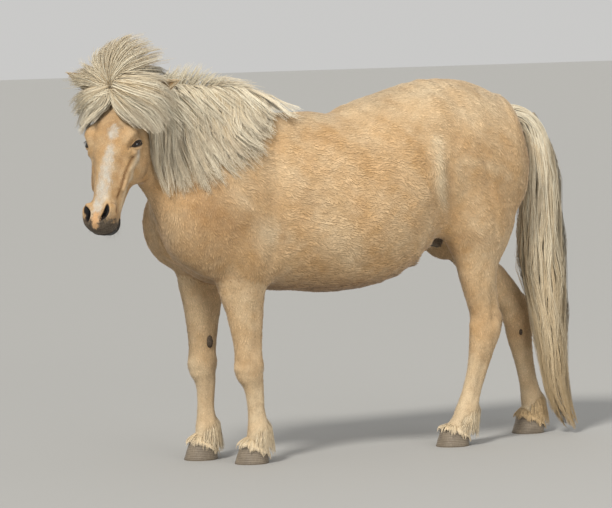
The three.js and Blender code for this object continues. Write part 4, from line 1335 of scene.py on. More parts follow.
# painted shade: strands of the inner layers are browner, and every root is darker; the tips are paler
for share, towards in ((remap(hair[2], 0, 1, 0.42, 0.0), (0.38, 0.25, 0.12)),
                       (remap(hair[1], 0.0, 0.22, 0.45, 0.0), (0.42, 0.28, 0.14)),
                       (remap(hair[1], 0.55, 1.0, 0.0, 0.3), (0.84, 0.8, 0.68)),
                       (inp["Low"], (0.44, 0.3, 0.14)), (masks[0], (0.66, 0.48, 0.27)),
                       (masks[2], (0.03, 0.022, 0.016))):
    cream = blend(share, cream, rgb(*towards))
feed(out, Color=tinted(cream, remap(noise(inp["Place"], 300, 2), 0.3, 0.7, 0.88, 1.1)))
print("node groups:", [group.name for group in bpy.data.node_groups])


# %% Materials of coat, skin and long hair
def new_material(name, roughness=0.6, specular=0.5, sheen=0.0):
    """A material, its shader, and the place on the object."""
    global tree
    material = bpy.data.materials.new(name)
    material.use_nodes = True
    tree = material.node_tree
    shader = feed(tree.nodes["Principled BSDF"], Roughness=roughness, Specular_IOR_Level=specular,
                  Sheen_Weight=sheen, Sheen_Roughness=0.45)
    return material, shader, add("TexCoord").outputs["Object"]


def coat_material(name, roughness, specular, sheen):
    material, shader, place = new_material(name, roughness, specular, sheen)
    marks = read("marks")
    feed(shader, Base_Color=use_group(coat_colour, Marks=marks["Color"], White=marks["Alpha"],
                                      Strand=read("strand")["Color"], Place=place)["Color"])
    return material, shader, place


tuft_paint, *_ = coat_material("short_coat", 0.62, 0.32, 0.18)
skin_paint, shader, place = coat_material("skin_under_coat", 0.7, 0.25, 0.1)
flat_hair = noise(place, 210, 3, stretch=(1.0, 0.16, 1.0))
hanging_hair = noise(place, 260, 3, stretch=(1.0, 1.0, 0.16))
upright = remap(split(place, "XYZ")[2], 0.5, 0.62, 1.0, 0.0)
height = sums("ADD", times(flat_hair, sums("SUBTRACT", 1.0, upright)), times(hanging_hair, upright))
bumped(shader, sums("ADD", height, times(noise(place, 900, 2), 0.25)), 0.55, 0.002)
skin.data.materials.append(skin_paint)

hair_paint, shader, place = new_material("long_hair", 0.48, 0.32, 0.12)
spot_xyz = split(place, "XYZ")
low = times(remap(spot_xyz[1], 0.54, 0.58), remap(spot_xyz[2], 0.75, 0.05, 0.0, 0.85))
feed(shader, Base_Color=use_group(hair_colour, Marks=read("marks")["Color"], Strand=read("strand")["Color"],
                                  Place=place, Low=low)["Color"])
for material in (tuft_paint, skin_paint, hair_paint):
    print("material:", material.name)

# %% [markdown]
# ## The short coat
# A summer coat is short, but on this breed it is dense and wavy, and lies in swirls on barrel and thigh. Each
# tuft of it is a thin spindle of six triangles, rooted in the skin and laid along the lie of the coat. The
# lie is a field of directions: back along the barrel, down the legs, down the face from a whorl on the brow.

# %% The lie of the coat
LEG_LIE = array([0, 0.1, -1.0])


def weigh(*pairs):
    total = sum(w for w, _ in pairs)
    return sum(w[:, None] * array(d, float) for w, d in pairs) / maximum(total, 1e-6)[:, None]


def lie_of(p, normal, parts):
    x, y, z = (p * 1000).T
    side = abs(x)
    chest = ramp(-330, -470, y)
    shoulder = ramp(-180, -330, y) * (1 - chest)
    rump = ramp(400, 540, y)
    thigh = ramp(240, 330, y) * (1 - rump)
    barrel = clip(1 - chest - shoulder - thigh - rump, 0, 1)
    low = ramp(640, 520, z)
    lie = weigh((barrel + 0.02, (0, 1, -0.3)), (shoulder, (0, 0.75, -0.7)), (chest, (0, 0.25, -1)),
                (thigh, (0, 0.75, -0.62)), (rump, (0, 0.35, -0.95)))
    lie = mix(lie, LEG_LIE, (low * (1 - barrel))[:, None])
    flank = spot(stack([side, y, z], 1) / 1000, (200, 250, 800), 70)[:, None]
    lie = mix(lie, array([0, 0.1, -1.0]), flank * 0.9)
    neck = (parts == 1)[:, None]
    lie = where(neck, array([0, 0.62, -0.78]), lie)
    lie = where((parts >= 3)[:, None] & (z < 560)[:, None], LEG_LIE, lie)
    head = parts == 2
    if head.any():
        down, out, left = head_place(p[head]).T
        away = stack([down - 128, 0 * down, left - 4 * sign(left)], 1)
        spread = exp(-(away**2).sum(1) / 42**2)[:, None]
        cheek = ramp(10, -40, out)[:, None]
        face = mix(array([1.0, 0, 0]), array([0.75, -0.65, 0]), cheek)
        face = face + stack([0 * down, 0 * down, 0.25 * sign(left) * ramp(0, 20, abs(left))], 1)
        lie[head] = mix(face, unit(away), spread) @ HEAD_AXES
    swirl = where(parts == 2, 0.1, where(parts >= 3, 0.14, 0.17))
    turned = swirl * (wander(p, 0.09, 21) + 0.6 * wander(p, 0.035, 22))
    lie = unit(lie - normal * dot(lie, normal))
    return unit(lie * cos(turned)[:, None] + cross(normal, lie) * sin(turned)[:, None])


print("lie on the barrel:", lie_of(array([[0.23, 0, 0.7]]), array([[1.0, 0, 0]]), array([0])).round(2))

# %% Spindles: root, a ring of three points, and tip
SPINDLE = array([[0, 2, 1], [0, 3, 2], [0, 1, 3], [1, 2, 4], [2, 3, 4], [3, 1, 4]])


def tuft_piece(name, roots, normal, lie, length, width, lift, tip_lift, curl, tone, marks, place):
    hug = 0.0 if name.split("_")[1] in ("shoulder", "barrel", "rump") else 0.002
    start = body_form(roots) if hug else 0
    side = cross(lie, normal)
    L = length[:, None]

    def step(share, rise, bend):
        at = roots + lie * L * share + side * (curl[:, None] * L * bend)
        follow = clip(start - body_form(at), -hug, hug) if hug else 0  # a limb curves away under a long tuft
        return at + normal * (follow + rise)[:, None]

    belly, tip = step(0.42, lift, 0.12), step(1.0, tip_lift, 0.85)
    half, tall, tilt = side * width[:, None] / 2, normal * (width * 0.2)[:, None], side * 0.3
    points = stack([roots - normal * 0.0012, belly - half, belly + half, belly + tall, tip], axis=1)
    lean = stack([normal, unit(normal - tilt), unit(normal + tilt), normal, unit(normal + lie * 0.25)], axis=1)
    strand_piece(name, points, SPINDLE, lean, [0, 0.42, 0.42, 0.46, 1.0], [0.5, 0, 1, 0.5, 0.5], tone,
                 ones(len(roots)), marks, place, "coat", paint=tuft_paint)


# %% Where the tufts grow
skin.data.calc_loop_triangles()
triangles = fetch(skin.data.loop_triangles, "vertices", 3)
skin_points, skin_normals = points_of(skin.data), points_of(skin.data, "normal")
corners = skin_points[triangles]
areas = norms(cross(corners[:, 1] - corners[:, 0], corners[:, 2] - corners[:, 0])) / 2
centres = corners.mean(axis=1)
triangle_parts = skin_parts[triangles[:, 0]]


def above_hooves(p):
    """Height above the top edge of the nearest hoof, in metres."""
    best = full(len(p), 1.0)
    for _, side, hoof_x, hoof_y, _, _ in LEGS.values():
        d = p - array([side * hoof_x, hoof_y, 42]) / 1000
        near = np.hypot(d[:, 0], d[:, 1]) < 0.09
        best = where(near & (p[:, 2] < 0.12), (d[:, 2] + 0.36 * d[:, 1]), best)
    return best


def roots_on_skin(chosen, per_metre):
    """Evenly spread roots, with per_metre of them on each square metre."""
    weight = areas * chosen * per_metre
    total = weight.sum()
    count = int(total)
    picks = np.searchsorted(np.cumsum(weight), (arange(count) + uniform(0, 1, count)) / count * total)
    picks = minimum(picks, len(areas) - 1)
    a, b = uniform(0, 1, (2, count, 1))
    flip = a + b > 1
    a, b = where(flip, 1 - a, a), where(flip, 1 - b, b)
    t = triangles[picks]
    spread = lambda values: (values[t[:, 0]] * (1 - a - b) + values[t[:, 1]] * a + values[t[:, 2]] * b)
    order = np.argsort(picks, kind="stable")
    return spread(skin_points)[order], unit(spread(skin_normals))[order], triangle_parts[picks][order]


print("skin area:", round(float(areas.sum()), 2), "square metres")

# %% Grow the coat, region by region
draw = np.random.default_rng(5)
uniform = draw.uniform
eye_gap = eye_distance(centres)
ring_gap = np.min([nostril_ring(centres + FACE_DOWN * k, n) for n in NOSTRILS for k in (-0.002, 0.002, 0.006)], axis=0)
mouth_gap = line_distance(centres, MOUTH)
hoof_gap = above_hooves(centres)
head_here = triangle_parts == 2
down_face = head_place(centres)[:, 0]
open_skin = (hoof_gap > -0.001) & (eye_gap > 0.0215) & (ring_gap > 1.32) & (mouth_gap > 0.004) & (centres[:, 2] > 0.02)
TRUNK_PIECES = ("coat_shoulder", "coat_barrel", "coat_rump")
TRUNK_COAT = [(15, 18, 18, 16), (3.2, 3.5, 3.5, 3.2), (1.1, 1.6, 1.5, 1.2)]
REGIONS = {  # which triangles, tufts per square metre, length, width, lift in mm
    "coat_shoulder": ((triangle_parts <= 1) & (centres[:, 1] < -0.2), 38500, 15, 3.1, 1.1),
    "coat_barrel": ((triangle_parts == 0) & (centres[:, 1] >= -0.2) & (centres[:, 1] < 0.23), 40000, 18, 3.5, 1.7),
    "coat_rump": ((triangle_parts == 0) & (centres[:, 1] >= 0.23), 40000, 17, 3.3, 1.4),
    "coat_forelegs": ((triangle_parts == 3) | (triangle_parts == 4), 48000, 12, 2.5, 1.0),
    "coat_hindlegs": ((triangle_parts == 5) | (triangle_parts == 6), 44000, 13, 2.7, 1.1),
    "coat_head": (head_here & (down_face < 328), 105000, 6.5, 1.6, 0.55),
    "coat_muzzle": (head_here & (down_face >= 328), 80000, 2.8, 1.0, 0.25),
}
for name, (here, density, length, width, lift) in REGIONS.items():
    chosen = here & open_skin
    share = ones(len(areas))
    if name == "coat_head":
        share = mix(1.0, 1.6, ramp(0.045, 0.028, eye_gap))
    roots, normal, parts = roots_on_skin(chosen * share, density)
    pieces = max(1, math.ceil(len(roots) * 6 / 190000))
    group = (arange(len(roots)) * pieces // max(len(roots), 1))
    lie = lie_of(roots, normal, parts)
    clump = wander(roots, 0.013, 31, (1, 3.4, 1)) if name in TRUNK_PIECES else wander(roots, 0.01, 32, (1, 1, 2.4))
    broad = wander(roots, 0.03, 34, (1, 2.2, 1))
    vary = uniform(0.72, 1.25, len(roots))
    z, y = roots[:, 2], roots[:, 1]
    if name in TRUNK_PIECES:  # one coat, whose values change slowly along it
        length, width, lift = (interp(y, [-0.34, -0.12, 0.16, 0.34], row) for row in TRUNK_COAT)
        lift = lift * mix(1.0, 0.6, ramp(0.84, 0.96, z))
    long = length / 1000 * vary
    if name == "coat_barrel":
        long *= mix(1.0, 1.25, ramp(0.62, 0.48, z)) * mix(1.0, 0.72, ramp(0.86, 0.98, z))
    if "leg" in name:
        long *= mix(1.0, 0.62, ramp(0.34, 0.2, z))
        long *= mix(1.0, 0.8, ramp(0.1, 0.05, z))
    if name == "coat_head":
        long *= mix(0.62, 1.0, ramp(0.024, 0.05, eye_distance(roots)))
        long *= mix(1.0, 1.5, ramp(-70, -120, head_place(roots)[:, 1]))
        long *= mix(1.0, 0.55, ramp(285, 325, head_place(roots)[:, 0]))
    wide = width / 1000 * uniform(0.7, 1.25, len(roots)) * clip(long / (length / 1000), 0.6, 1.2)
    rise = lift / 1000 * (0.5 + 0.34 * clump + 0.22 * broad + uniform(0, 0.5, len(roots)))
    rise = clip(rise, 0.0003, None)
    tip_rise = rise * uniform(0.3, 1.25, len(roots))
    curl = 0.1 * wander(roots, 0.05, 33) + draw.normal(0, 0.06, len(roots))
    tone = clip(0.5 + 0.13 * draw.normal(0, 1, len(roots)) + 0.1 * clump + 0.08 * broad, 0, 1)
    marks = marks_with_painted_light(roots, parts)
    place = map_place(skin_map(roots, parts), parts)
    for k in range(pieces):
        values = (v[group == k] for v in (roots, normal, lie, long, wide, rise, tip_rise, curl, tone, marks, place))
        tuft_piece(name if pieces == 1 else f"{name}_{k + 1}", *values)
    report(name, len(roots), "tufts in", pieces, "pieces")

# %% [markdown]
# ## Mane
# The mane springs from the crest and falls to the pony's left, over the whole side of the neck, in wavy,
# pointed locks. Three sheets of guides, one over the other, carry it. Short hairs stand along the middle of the
# crest, and lie back by the withers.

# %% Guides of the mane
CREST_POLL, CREST_WITHERS = -0.592, -0.215


def crest_at(y, side, depth=0.012):
    """The top of the neck at each y, moved sideways."""
    x = mix(0.058, 0.0, clip((y + 0.64) / 0.43, 0, 1)) + side
    low, high = full(len(y), 0.94), full(len(y), 1.25)
    for _ in range(14):
        middle_z = (low + high) / 2
        inside = trunk_form(stack([x, y, middle_z], 1)) < 0
        low, high = where(inside, middle_z, low), where(inside, high, middle_z)
    return stack([x, y, low - depth], 1)


# where the locks end, from the cheek back to the withers
MANE_TIPS = [[136, -560, 742], [148, -542, 750], [162, -520, 752], [178, -487, 745], [188, -441, 764],
             [192, -388, 779], [194, -326, 805], [190, -284, 842], [176, -248, 890], [146, -205, 948]]


def mane_tips(share, shorter):
    tips = spline(MANE_TIPS, share)
    tips[:, 2] += shorter
    return tips / 1000


MANE_ROWS = 30
mane_sheets = []
for clear, shorter, side in ((0.004, 6, 0.01), (0.014, 22, 0.000), (0.026, 44, -0.01)):
    share = linspace(0.005, 1, MANE_ROWS)
    roots = crest_at(mix(CREST_POLL, CREST_WITHERS, share**1.1), side + 0.03 * clip(1 - share / 0.24, 0, 1))
    uneven = 14 * sin(share * 47 + clear * 900) + 9 * sin(share * 83 + 2)
    leave = stack([full(MANE_ROWS, 0.7), 0.2 + 0.7 * share, mix(0.9, 0.1, share**2)], 1)
    arrive = stack([full(MANE_ROWS, 0.1), 1.3 * ramp(0.15, 0.6, share) + 0.35 * sin(share * 31),
                       mix(-1.0, -0.45, ramp(0.2, 0.8, share))], 1)
    path = guides(roots, leave, mane_tips(share, shorter + uneven), arrive, trunk_form,
                  full(MANE_ROWS, clear), points=15, handle=0.3, drape=True)
    path[:, 1:] = push_out(path[:, 1:].reshape(-1, 3), head_form, 0.003).reshape(MANE_ROWS, 14, 3)
    out = slope(path.reshape(-1, 3), flesh).reshape(path.shape)
    mane_sheets.append((path, out))
report("mane guides:", len(mane_sheets) * MANE_ROWS)

# %% Strands of the mane
draw = np.random.default_rng(11)
uniform = draw.uniform


def root_map(cell, u, v):
    x0, y0, x1, y1 = cell
    return stack([mix(x0, x1, clip(u, 0, 1)), mix(y0, y1, clip(v, 0, 1))], -1)


def hair_piece(name, strands, widest, cell, node=None, thick=0.0005, whiteness=WHITE_HAIR, soft=0.6):
    path, out, tone, depth = strands
    count, rings = path.shape[:2]
    depth = broadcast_to(depth, count)
    ribbon_piece(name, path, broadcast_to(out, path.shape), taper(rings, count, widest), thick, soft, tone=tone,
                 depth=depth, marks=tile(whiteness, (count, 1)), place=root_map(cell, arange(count) / count,
                 0.4 + 0.2 * depth), slot="long_hair", node=node)


def tones(middle, spread, count):
    return clip(draw.normal(middle, spread, count), 0, 1)


def arc(roots, middle, tips, points):
    s = linspace(0, 1, points)[None, :, None]
    return (1 - s)**2 * roots[:, None] + 2 * s * (1 - s) * middle[:, None] + s**2 * tips[:, None]


def wisps(roots, way, length, bend, points):
    """Short hairs that leave their roots along way, and bend off."""
    s, length = linspace(0, 1, points)[None, :, None], length[:, None, None]
    return roots[:, None] + way[:, None] * length * s + bend * length * s**2


for k, (path, out) in enumerate(mane_sheets):
    strands = lay_strands(path, out, 1250, (28, 34, 26)[k], rings=8, gather=(0.4, 0.5, 0.68)[k], spread=0.006,
                          layer=0.007, wave=0.005, shortest=(0.86, 0.74, 0.6)[k], waves=1.7)
    swing = linspace(0, 1, 1250)[:, None]
    flick = 0.034 * (0.3 + 0.7 * sin(swing * 41 + 2 * k) ** 2) * ramp(0.05, 0.4, swing) * ramp(1.1, 0.7, swing)
    flick = flick * ramp(0.5, 1, linspace(0, 1, 8)) ** 1.4  # the ends turn back and up
    strands[0][..., 1] += flick
    strands[0][..., 2] += 0.45 * flick
    # painted shade: every mane strand is made a little browner through its depth
    strands[2][:] = clip(strands[2] - 0.12, 0, 1)
    hair_piece(f"mane_{k + 1}", strands, 0.0021, NECK_CELL, node="neck")

# Hairs that stand along the crest, blown back, and the ones that lie over the withers
stand = 420
y = uniform(-0.6, -0.345, stand)
roots = crest_at(y, uniform(-0.018, 0.006, stand))
lock_of = np.round(y * 60) / 60
rise = (0.052 + 0.04 * abs(sin(lock_of * 171))) * uniform(0.5, 1.0, stand)
tips = roots + stack([0.006 + draw.normal(0, 0.01, stand), 0.018 + 0.03 * abs(sin(lock_of * 97))
                         + draw.normal(0, 0.008, stand), rise], 1)
path = arc(roots, mix(roots, tips, 0.5) + array([-0.004, -0.01, 0.006]), tips, 6)
hair_piece("mane_standing", (path, array([0.8, -0.35, 0.5]), tones(0.78, 0.16, stand), 1.0), 0.0022, NECK_CELL,
           soft=-0.2)

# Flyaway locks that arch up from the crest and fall back over the mane
count = 620
u = np.round(uniform(0, 1, count) * 46) / 46
y = mix(-0.59, -0.225, clip(u + draw.normal(0, 0.008, count), 0, 1))
roots = crest_at(y, uniform(-0.01, 0.008, count) + 0.03 * clip(1 - u / 0.24, 0, 1))
wild = lambda rate: 0.5 + 0.5 * sin(u * rate)
tips = roots + stack([0.07 + 0.03 * wild(97), mix(0.045, 0.085, u) + 0.03 * wild(61),
                         -0.045 - 0.06 * wild(173) * (1 - 0.5 * u)], 1) + draw.normal(0, 0.006, (count, 3))
path = guides(roots, stack([0.25 + 0 * u, 0.3 + 0.8 * u, 1.0 + 0 * u], 1), tips,
              stack([0.3 + 0 * u, 0.7 + 0 * u, -0.6 + 0 * u], 1), trunk_form, 0.02 + 0.02 * wild(139), points=8,
              handle=0.34)
hair_piece("mane_flyaway", (path, slope(path.reshape(-1, 3), trunk_form).reshape(path.shape), tones(0.6, 0.2, count),
                            1.0), 0.0021, NECK_CELL, soft=0.3)

lie = 380
y = uniform(-0.395, -0.205, lie)
roots = crest_at(y, uniform(-0.02, 0.012, lie))
share = (y + 0.395) / 0.19
tips = roots + stack([draw.normal(0.01, 0.012, lie), 0.072 + uniform(-0.02, 0.03, lie),
                         mix(0.04, -0.002, share) + draw.normal(0, 0.005, lie)], 1)
path = guides(roots, tile([0.1, 0.5, 0.8], (lie, 1)), tips, tile([0, 1, -0.5], (lie, 1)), flesh,
              uniform(0.003, 0.01, lie), points=7)
hair_piece("mane_withers", (path, [0.3, 0.1, 1.0], tones(0.6, 0.2, lie), uniform(0, 1, lie)), 0.0018, NECK_CELL)
report("mane strands:", 3 * 1250 + stand + count + lie)

# %% [markdown]
# ## Forelock
# The forelock springs from a whorl between the ears, stands up like a fountain and falls to both sides, most of
# it to the left. Four fans of guides carry it. Each guide is given by four places, because hair that stands
# free can't be found from the form of the skin.

# %% Ears, which push the hair outwards
WHORL = (-6, 8, -18)
EARS = {1: (on_head(2, -26, 50), (-0.42, -0.24)), -1: (on_head(-2, -8, -50), (-0.42, 0.22))}
EAR_LENGTH = 0.118


def ear_axes(side):
    down, out = EARS[side][1]
    along = unit(0.87 * side * HEAD_LEFT + down * FACE_DOWN + out * FACE_OUT)
    opening = FACE_OUT + 0.35 * FACE_DOWN
    opening = unit(opening - along * (opening @ along))
    return along, opening, cross(along, opening)


def ear_muscle(side):
    along, opening, across = ear_axes(side)
    return Muscle((EARS[side][0] + along * EAR_LENGTH * 0.3) * 1000, [EAR_LENGTH * 540, 24, 27],
                  array([along, opening, across]))


EAR_MUSCLES = [ear_muscle(1), ear_muscle(-1)]
scalp = lambda p: minimum(flesh(p), minimum(*(m.form(p) for m in EAR_MUSCLES)))
print("ears of", EAR_LENGTH, "m")

# %% Guides of the forelock: four places each after the whorl, in mm down the face, out of it and to its left
FORELOCK = {
    "left": (1500, 0.45, [  # over the left ear, from the parting up
        [17, 24, -6, 58, 34, 17, 96, 34, 52, 116, 22, 89],
        [16, 28, 0, 61, 42, 41, 99, 40, 82, 126, 14, 118],
        [13, 32, 7, 60, 50, 63, 95, 40, 113, 132, 0, 137],
        [7, 34, 11, 49, 54, 82, 76, 32, 133, 111, -16, 148],
        [0, 36, 11, 32, 54, 93, 52, 24, 144, 80, -34, 154],
        [-7, 36, 11, 15, 52, 94, 25, 16, 149, 49, -50, 160],
        [-14, 34, 8, -4, 46, 88, -3, 8, 141, 17, -58, 158],
        [-20, 32, 4, -22, 38, 77, -26, -6, 118, -12, -68, 132],
        [-25, 30, 0, -42, 32, 60, -55, -14, 96, -60, -68, 112],
        [-29, 28, -6, -57, 26, 44, -74, -20, 76, -80, -66, 104]]),
    "crest": (1300, -0.1, [  # blown up and over to the left
        [-26, 32, 1, -55, 34, 56, -82, 4, 95, -102, -30, 139],
        [-27, 32, -2, -65, 42, 49, -100, 20, 87, -126, -12, 142],
        [-28, 32, -6, -76, 50, 34, -114, 36, 66, -134, 14, 102],
        [-28, 32, -10, -83, 54, 16, -127, 48, 48, -150, 30, 93],
        [-28, 32, -12, -83, 56, 1, -129, 54, 23, -151, 44, 55],
        [-27, 32, -15, -74, 56, -13, -119, 56, -2, -147, 52, 30],
        [-26, 32, -19, -67, 54, -27, -109, 56, -28, -134, 54, 1],
        [-24, 32, -22, -60, 50, -43, -95, 54, -52, -120, 54, -35],
        [-23, 32, -24, -50, 48, -51, -75, 52, -68, -91, 50, -79]]),
    "right_up": (560, -0.1, [  # over the right ear
        [-21, 32, -25, -47, 46, -58, -66, 48, -85, -84, 48, -106],
        [-18, 32, -26, -38, 44, -62, -51, 42, -95, -58, 36, -113],
        [-13, 32, -28, -27, 42, -66, -37, 34, -107, -58, 20, -154],
        [-8, 32, -29, -17, 40, -70, -26, 28, -115, -35, 4, -170],
        [-3, 32, -28, -7, 38, -70, -14, 20, -118, -17, -8, -169]]),
    "right_low": (1100, 0.45, [  # down past the right temple, to the parting
        [-1, 32, -27, 5, 42, -64, 4, 22, -107, 6, -12, -154],
        [4, 32, -25, 17, 42, -59, 28, 24, -102, 44, -14, -146],
        [8, 32, -23, 30, 42, -53, 53, 24, -91, 79, -14, -127],
        [11, 30, -19, 42, 40, -45, 71, 26, -78, 113, -14, -114],
        [15, 29, -16, 54, 38, -34, 85, 30, -62, 141, -12, -99],
        [17, 28, -12, 58, 35, -18, 91, 29, -41, 128, 6, -76],
        [18, 26, -8, 56, 32, -7, 89, 28, -25, 120, 18, -54]]),
}
print("forelock guides:", sum(len(rows) for _, _, rows in FORELOCK.values()))

# %% Strands of the forelock, in an upper and a lower layer
for name, (count, soft, rows) in FORELOCK.items():
    rows = array(rows, float)
    sheet = spline(rows, linspace(0, 1, 3 * len(rows) - 2)).reshape(-1, 4, 3)
    for level in (0, 1, 2)[:3 if soft < 0 else 2]:  # the third is a few long flyaway wisps
        knots = sheet.copy()
        knots[:, :, 1] -= array([9, 16, 18, 8]) * (level == 1)
        knots[:, 3] = mix(knots[:, 2], knots[:, 3], (1, 0.82, 1.42)[level])
        knots = np.concatenate([tile(array(WHORL, float), (len(knots), 1))[:, None], knots], axis=1)
        path = array([spline(guide, linspace(0, 1, 15)) for guide in knots])
        path = POLL + path / 1000 @ HEAD_AXES
        clear = tile(clip(linspace(-0.004, 0.03, 15), -0.003, 0.003 if level == 1 else 0.01), len(path))
        flat = push_out(push_out(path.reshape(-1, 3), scalp, clear), scalp, clear)
        path = flat.reshape(path.shape)
        out = unit(slope(flat, scalp).reshape(path.shape)) if soft > 0 else broadcast_to(FACE_OUT, path.shape)
        strands = lay_strands(path, out, (count // 2, count // 2, count // 9)[level], 2 * len(rows) + 3, rings=8,
                              gather=(0.62, 0.62, 0.8)[level], spread=0.005, layer=0.01,
                              wave=(0.004, 0.004, 0.007)[level], shortest=0.8 if soft > 0 else 0.66, waves=1.2)
        hair_piece(f"forelock_{name}_{'abc'[level]}", strands, (0.002, 0.002, 0.0014)[level], HEAD_CELL, node="head",
                   soft=soft)
report("forelock strands:", sum(f[0] for f in FORELOCK.values()))

# %% [markdown]
# ## Tail
# The tail hangs from the dock nearly to the ground, like a long brush. Its outline is a table of widths by
# height. Strands start on the dock, fall inside that outline at their own depth, gather into locks, and thin
# out at the bottom.

# %% The dock and the outline of the tail
TAIL = array([  # height, x, y, reach, in mm
    [948, 0, 636, 34], [900, 0, 662, 46], [800, 2, 686, 56], [700, 4, 682, 66], [600, 7, 676, 74],
    [500, 10, 680, 76], [400, 14, 690, 64], [300, 18, 698, 54], [150, 22, 708, 44], [60, 24, 732, 38],
    [8, 26, 770, 26]]) / 1000
TAIL_WIDTH = 0.74
DOCK = Tube([[0, 560, 950, 34, 26, 30], [0, 622, 934, 34, 26, 28], [0, 664, 880, 30, 30, 28],
             [2, 684, 790, 26, 28, 28], [4, 682, 690, 20, 22, 22], [7, 678, 600, 12, 14, 14]], array([0, 1, 0.2]), 12)
dock = along_tube("dock", DOCK, 20, 24)
dress(dock, "coat", "tail", paint=skin_paint)
add_colours(dock.data, "marks", [0.6, 0.1, 0, 0.7])
add_colours(dock.data, "strand", [0.5, 0.5, 0.5, 1])
long, across = DOCK.place(points_of(dock.data))[::-1]
write_map(dock.data, root_map(TAIL_CELL, across / 7 + 0.5, long * 0.3)[fetch(dock.data.loops, "vertex_index")])


def tail_at(height, turned, share):
    flip = TAIL[::-1]
    x, y, reach = (interp(height, flip[:, 0], flip[:, k]) for k in (1, 2, 3))
    return stack([x + TAIL_WIDTH * reach * share * sin(turned), y + reach * share * cos(turned), height], -1)


print("tail:", TAIL[0, 0], "to", TAIL[-1, 0], "m")

# %% Strands of the tail
TAIL_LOCKS = 44
for k, (count, share, low_end) in enumerate(((1250, 1.0, 8), (1150, 0.88, 20), (700, 0.6, 60))):
    rings = 10
    turned = uniform(0, 2 * pi, count)
    centres = (arange(TAIL_LOCKS) + uniform(-0.4, 0.4, TAIL_LOCKS)) * 2 * pi / TAIL_LOCKS
    gap = (turned[:, None] - centres[None] + pi) % (2 * pi) - pi
    lock = np.argmin(abs(gap), axis=1)
    gap = gap[arange(count), lock]
    start = 0.95 - 0.3 * uniform(0, 1, count) ** (3.2, 2.4, 1.4)[k]
    lock_end = (low_end + 190 * uniform(0, 1, TAIL_LOCKS) ** 1.5) / 1000
    end = lock_end[lock] + 0.14 * uniform(0, 1, count) ** 2
    s = linspace(0, 1, rings)[None]
    height = mix(start[:, None], end[:, None], s)
    fall = ramp(0, 1, s)
    depth = share * (0.86 + 0.16 * sin(lock * 2.4) * 0.5 + draw.normal(0, 0.05, count))
    out = interp(broadcast_to(s, height.shape).ravel(), [0, 0.06, 0.2, 0.64, 0.84, 1],
                    [0.92, 0.98, 1, 1, 0.96, 0.88]).reshape(height.shape)
    turn_now = turned[:, None] - gap[:, None] * 0.72 * fall
    phase = uniform(0, 6.28, TAIL_LOCKS)[lock][:, None]
    size = (0.5 + 0.7 * uniform(0, 1, TAIL_LOCKS))[lock][:, None]
    wave = sin(height * 24 + phase + draw.normal(0, 0.5, count)[:, None]) * size * (0.4 + fall)
    path = tail_at(height, turn_now + 0.17 * wave, depth[:, None] * out * (1 + 0.1 * size * cos(height * 29 + phase)))
    outward = unit(path - tail_at(height, turn_now, 0.0 * out) + array([0, 0, 1e-5]))
    inside_body = flesh(path.reshape(-1, 3)).reshape(count, rings)
    path[..., 1] += maximum(0.004 - inside_body, 0) * (height < 0.93)
    tone = clip(0.5 + 0.2 * draw.normal(0, 1, count) + 0.4 * (uniform(0, 1, TAIL_LOCKS)[lock] - 0.5), 0, 1)
    hair_piece(f"tail_{k + 1}", (path, outward, tone, full(count, 1 - k / 2.0)), 0.0025, TAIL_CELL, node="tail")
# Hair that springs from the top of the dock and lies down over it
count = 900
turned, first = draw.normal(0, 1.15, count), uniform(-0.01, 0.42, count)
s = linspace(0, 1, 8)[None]
t = first[:, None] + uniform(0.24, 0.42, count)[:, None] * s
thick = 0.98 + (uniform(0.1, 0.24, count)[:, None] + 0.3 * t) * ramp(0, 0.3, s)
around = turned[:, None] * (1 + 0.18 * s) + 0.05 * sin(t * 30 + np.round(turned * 9)[:, None])
path = DOCK.spot(t.ravel(), around.ravel(), thick.ravel()).reshape(count, 8, 3)
outward = unit(path - DOCK.spot(t.ravel(), around.ravel(), 0.0 * t.ravel()).reshape(path.shape))
path[..., 1] += maximum(0.003 - flesh(path.reshape(-1, 3)).reshape(t.shape), 0) * (s > 0.1)
hair_piece("tail_top", (path, outward, tones(0.62, 0.2, count), 1.0), 0.0022, TAIL_CELL, node="tail")
report("tail strands:", 4000)

# %% [markdown]
# ## Feather
# Longer hair hangs from the backs of the fetlocks over the heels. Each hair leaves the skin outwards, turns
# down, and ends just above the ground.

# %% Strands at the fetlocks
def outwards(turned, side=1):
    return stack([sin(turned) * side, cos(turned), 0 * turned], 1)


